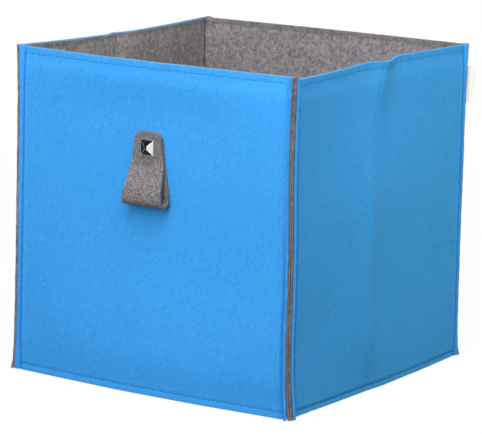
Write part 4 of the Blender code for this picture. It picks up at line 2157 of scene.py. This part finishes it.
@dataclass
class Label:
    """The bare woven label: a tape folded in two, its ends sewn into the rear right seam."""

    stance: Stance
    ply: float = 0.00016
    gap: float = 0.00003
    belly: float = 0.00045
    sewn_in: float = 0.006
    curl: float = 0.0012
    curl_phase: float = 0.4
    rows: int = 14
    leg_steps: int = 14

    def build(self) -> None:
        """Build the folded tape."""
        low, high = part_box("woven_label")
        corner = np.array([self.stance.box.inner_x, self.stance.box.inner_y])
        run = np.array([1.0, 1.0]) / ROOT2
        side = np.array([-1.0, 1.0]) / ROOT2
        root = float((np.array([low.x, low.y]) - corner) @ run)
        tip = float((np.array([high.x, high.y]) - corner) @ run)
        half = self.ply / 2.0 + self.gap
        reach = np.linspace(root, tip - half, self.leg_steps)
        open_from = root + self.sewn_in
        belly = self.belly * np.sin(np.pi * np.clip((reach - open_from) / (tip - half - open_from), 0.0, 1.0))
        turn = np.linspace(0.5 * math.pi, -0.5 * math.pi, 7)[1:-1]
        out = np.concatenate([reach, tip - half + half * np.cos(turn), reach[::-1]])
        off = np.concatenate([half + belly, half * np.sin(turn), -(half + belly[::-1])])
        heights = np.linspace(low.z, high.z, self.rows)
        share = (heights - low.z) / (high.z - low.z)
        curl = self.curl * np.sin(share * math.pi + self.curl_phase)[:, None]
        past = np.clip((out - open_from) / (tip - open_from), 0.0, 1.0)[None, :]
        off = off[None, :] + curl * past**2
        plan = corner + out[None, :, None] * run + off[..., None] * side
        height = heights[:, None] + 0.0 * off
        points = self.stance.move(np.concatenate([plan, height[..., None]], axis=2))
        obj = SheetMaker(edge=0.0).make("bare_label", points, self.ply)
        Bench.dress(obj, Stock.WHITE_WEAVE)
        Hold.ride(obj, "rear_wall", "woven_label")


@dataclass(frozen=True)
class Lamp:
    """A soft box light that stands around the box at an angle, in degrees, and faces its middle."""

    name: str
    turn: float
    rise: float
    distance: float
    size: float
    power: float
    colour: Colour = (1.0, 1.0, 1.0)

    def away(self) -> Vector:
        """Return the direction from the box to the lamp."""
        turn, rise = math.radians(self.turn), math.radians(self.rise)
        return Vector((math.sin(turn) * math.cos(rise), -math.cos(turn) * math.cos(rise), math.sin(rise)))


@dataclass(frozen=True)
class Flag:
    """A black board that only bright metal sees."""

    name: str
    place: tuple[float, float, float]
    turn: tuple[float, float, float]
    width: float
    height: float


@dataclass
class Studio:
    """Floor, background, lamps and camera."""

    azimuth: float = 33.36
    elevation: float = 10.87
    roll: float = 1.15
    distance: float = 2.604
    focal_px: float = 2612.8
    frame_px: tuple[int, int] = (482, 434)
    centre_px: tuple[float, float] = (243.4, 205.2)
    target: tuple[float, float, float] = (0.0, 0.0, 0.16)
    ambient: float = 0.37
    floor_white: float = 0.94
    floor_pale: float = 0.92
    floor_grey: float = 0.18
    floor_reach: float = 1.6
    floor_size: float = 14.0
    floor_drop: float = 0.0004

    def build(self) -> None:
        """Set up the whole studio."""
        self.camera()
        self.floor()
        self.world()
        self.lamps()
        self.flags()
        bpy.context.scene.view_settings.view_transform = "Standard"

    def camera(self) -> None:
        """Stand the camera at the photograph's angle."""
        turn, rise, roll = (math.radians(angle) for angle in (self.azimuth, self.elevation, self.roll))
        back = Vector((math.sin(turn) * math.cos(rise), -math.cos(turn) * math.cos(rise), math.sin(rise)))
        right = Vector((math.cos(turn), math.sin(turn), 0.0))
        up = back.cross(right)
        across = right * math.cos(roll) + up * math.sin(roll)
        upward = up * math.cos(roll) - right * math.sin(roll)
        data = bpy.data.cameras.new("camera")
        data.sensor_width = 36.0
        data.lens = self.focal_px * data.sensor_width / self.frame_px[0]
        data.shift_x = (self.frame_px[0] / 2.0 - self.centre_px[0]) / self.frame_px[0]
        data.shift_y = (self.centre_px[1] - self.frame_px[1] / 2.0) / self.frame_px[0]
        obj = bpy.data.objects.new("camera", data)
        bpy.context.scene.collection.objects.link(obj)
        turned = Matrix((across, upward, back)).transposed().to_4x4()
        obj.matrix_world = Matrix.Translation(Vector(self.target) + back * self.distance) @ turned
        bpy.context.scene.camera = obj

    def floor(self) -> None:
        """Lay a plain pale floor that keeps a faint shadow."""
        Bench.clear()
        bpy.ops.mesh.primitive_plane_add(size=self.floor_size, location=(0.0, 0.0, -self.floor_drop))
        obj = Bench.named("floor")
        Bench.settle(obj)
        made, tree = new_material("pale_floor")
        path = tree.node("ShaderNodeLightPath", {}, {})
        seen = Sock(tree, path.outputs["Is Camera Ray"]) + Sock(tree, path.outputs["Is Glossy Ray"])
        matt = tree.out("ShaderNodeBsdfDiffuse", {}, {"Color": rgba((self.floor_grey,) * 3)})
        pale = tree.out("ShaderNodeBsdfDiffuse", {}, {"Color": rgba((self.floor_pale,) * 3)})
        white = tree.out("ShaderNodeEmission", {}, {"Color": rgba((1.0, 1.0, 1.0)), "Strength": 1.0})
        place = tree.out("ShaderNodeTexCoord", {}, {}, "Object")
        away = tree.out("ShaderNodeVectorMath", {"operation": "LENGTH"}, {0: place}, "Value")
        far = tree.ramp(away * (1.0 / self.floor_reach), [(0.3, self.floor_white), (1.0, 1.0)])
        shown = tree.out("ShaderNodeMixShader", {}, {0: far, 1: pale, 2: white})
        mixed = tree.out("ShaderNodeMixShader", {}, {0: seen, 1: matt, 2: shown})
        tree.show(mixed)
        obj.data.materials.append(made)

    def world(self) -> None:
        """Fill the room with even light and show it white."""
        room = bpy.data.worlds.new("room")
        bpy.context.scene.world = room
        room.use_nodes = True
        tree = ShaderTree(room.node_tree)
        path = tree.node("ShaderNodeLightPath", {}, {})
        seen = Sock(tree, path.outputs["Is Camera Ray"]) + Sock(tree, path.outputs["Is Glossy Ray"])
        seen = seen + Sock(tree, path.outputs["Is Transmission Ray"])
        strength = self.ambient + seen * (1.0 - self.ambient)
        light = tree.out("ShaderNodeBackground", {}, {"Color": rgba((1.0, 1.0, 1.0)), "Strength": strength})
        tree.node("ShaderNodeOutputWorld", {}, {"Surface": light})

    def lamps(self) -> None:
        """Hang the soft boxes."""
        for lamp in (
            Lamp("key_box", turn=4.0, rise=28.0, distance=1.6, size=1.2, power=14.0),
            Lamp("top_box", turn=36.0, rise=62.0, distance=1.15, size=0.9, power=15.0),
            Lamp("right_box", 120.0, 14.0, 0.9, 0.35, 1.75, (1.0, 1.0, 0.64)),
        ):
            data = bpy.data.lights.new(lamp.name, "AREA")
            data.shape = "SQUARE"
            data.size = lamp.size
            data.energy = lamp.power
            data.color = lamp.colour
            obj = bpy.data.objects.new(lamp.name, data)
            obj.location = Vector(self.target) + lamp.away() * lamp.distance
            obj.rotation_euler = (-lamp.away()).to_track_quat("-Z", "Y").to_euler()
            bpy.context.scene.collection.objects.link(obj)

    def flags(self) -> None:
        """Stand the black flags, apart from each other so that edges of metal glint."""
        made, tree = new_material("black_flag")
        black = tree.out("ShaderNodeBsdfDiffuse", {}, {"Color": rgba((0.02, 0.02, 0.026))})
        tree.show(black)
        upright = math.radians(90.0)
        for flag in (
            Flag("left_flag", (-0.715, -0.39, 0.33), (upright, 0.0, math.radians(107.5)), 0.36, 0.64),
            Flag("front_flag", (-0.41, -0.795, 0.44), (upright, 0.0, math.radians(147.0)), 0.42, 0.86),
            Flag("low_flag", (-0.22, -0.38, 0.002), (0.0, 0.0, math.radians(45.0)), 0.34, 0.26),
        ):
            Bench.clear()
            bpy.ops.mesh.primitive_plane_add(size=1.0, location=flag.place, rotation=flag.turn)
            obj = Bench.named(flag.name)
            obj.scale = (flag.width, flag.height, 1.0)
            Bench.settle(obj)
            obj.data.materials.append(made)
            for view in ("camera", "diffuse", "transmission", "volume_scatter", "shadow"):
                setattr(obj, f"visible_{view}", False)


def main() -> None:
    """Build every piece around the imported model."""
    logging.basicConfig(level=logging.INFO, format="%(message)s")
    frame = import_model()
    stance = stance_of(BoxFrame.read())
    felts = FeltWalls(stance, walls_of(stance))
    felts.build()
    Stitches(felts).build()
    Base(felts).build()
    hinge = next(joint["pos_m"] for joint in frame["joints"] if joint["name"] == "loop_lift")
    PullLoop(stance.box, hinge).build()
    Label(stance).build()
    Studio().build()
    Bench.clear()


if __name__ == "__main__":
    main()
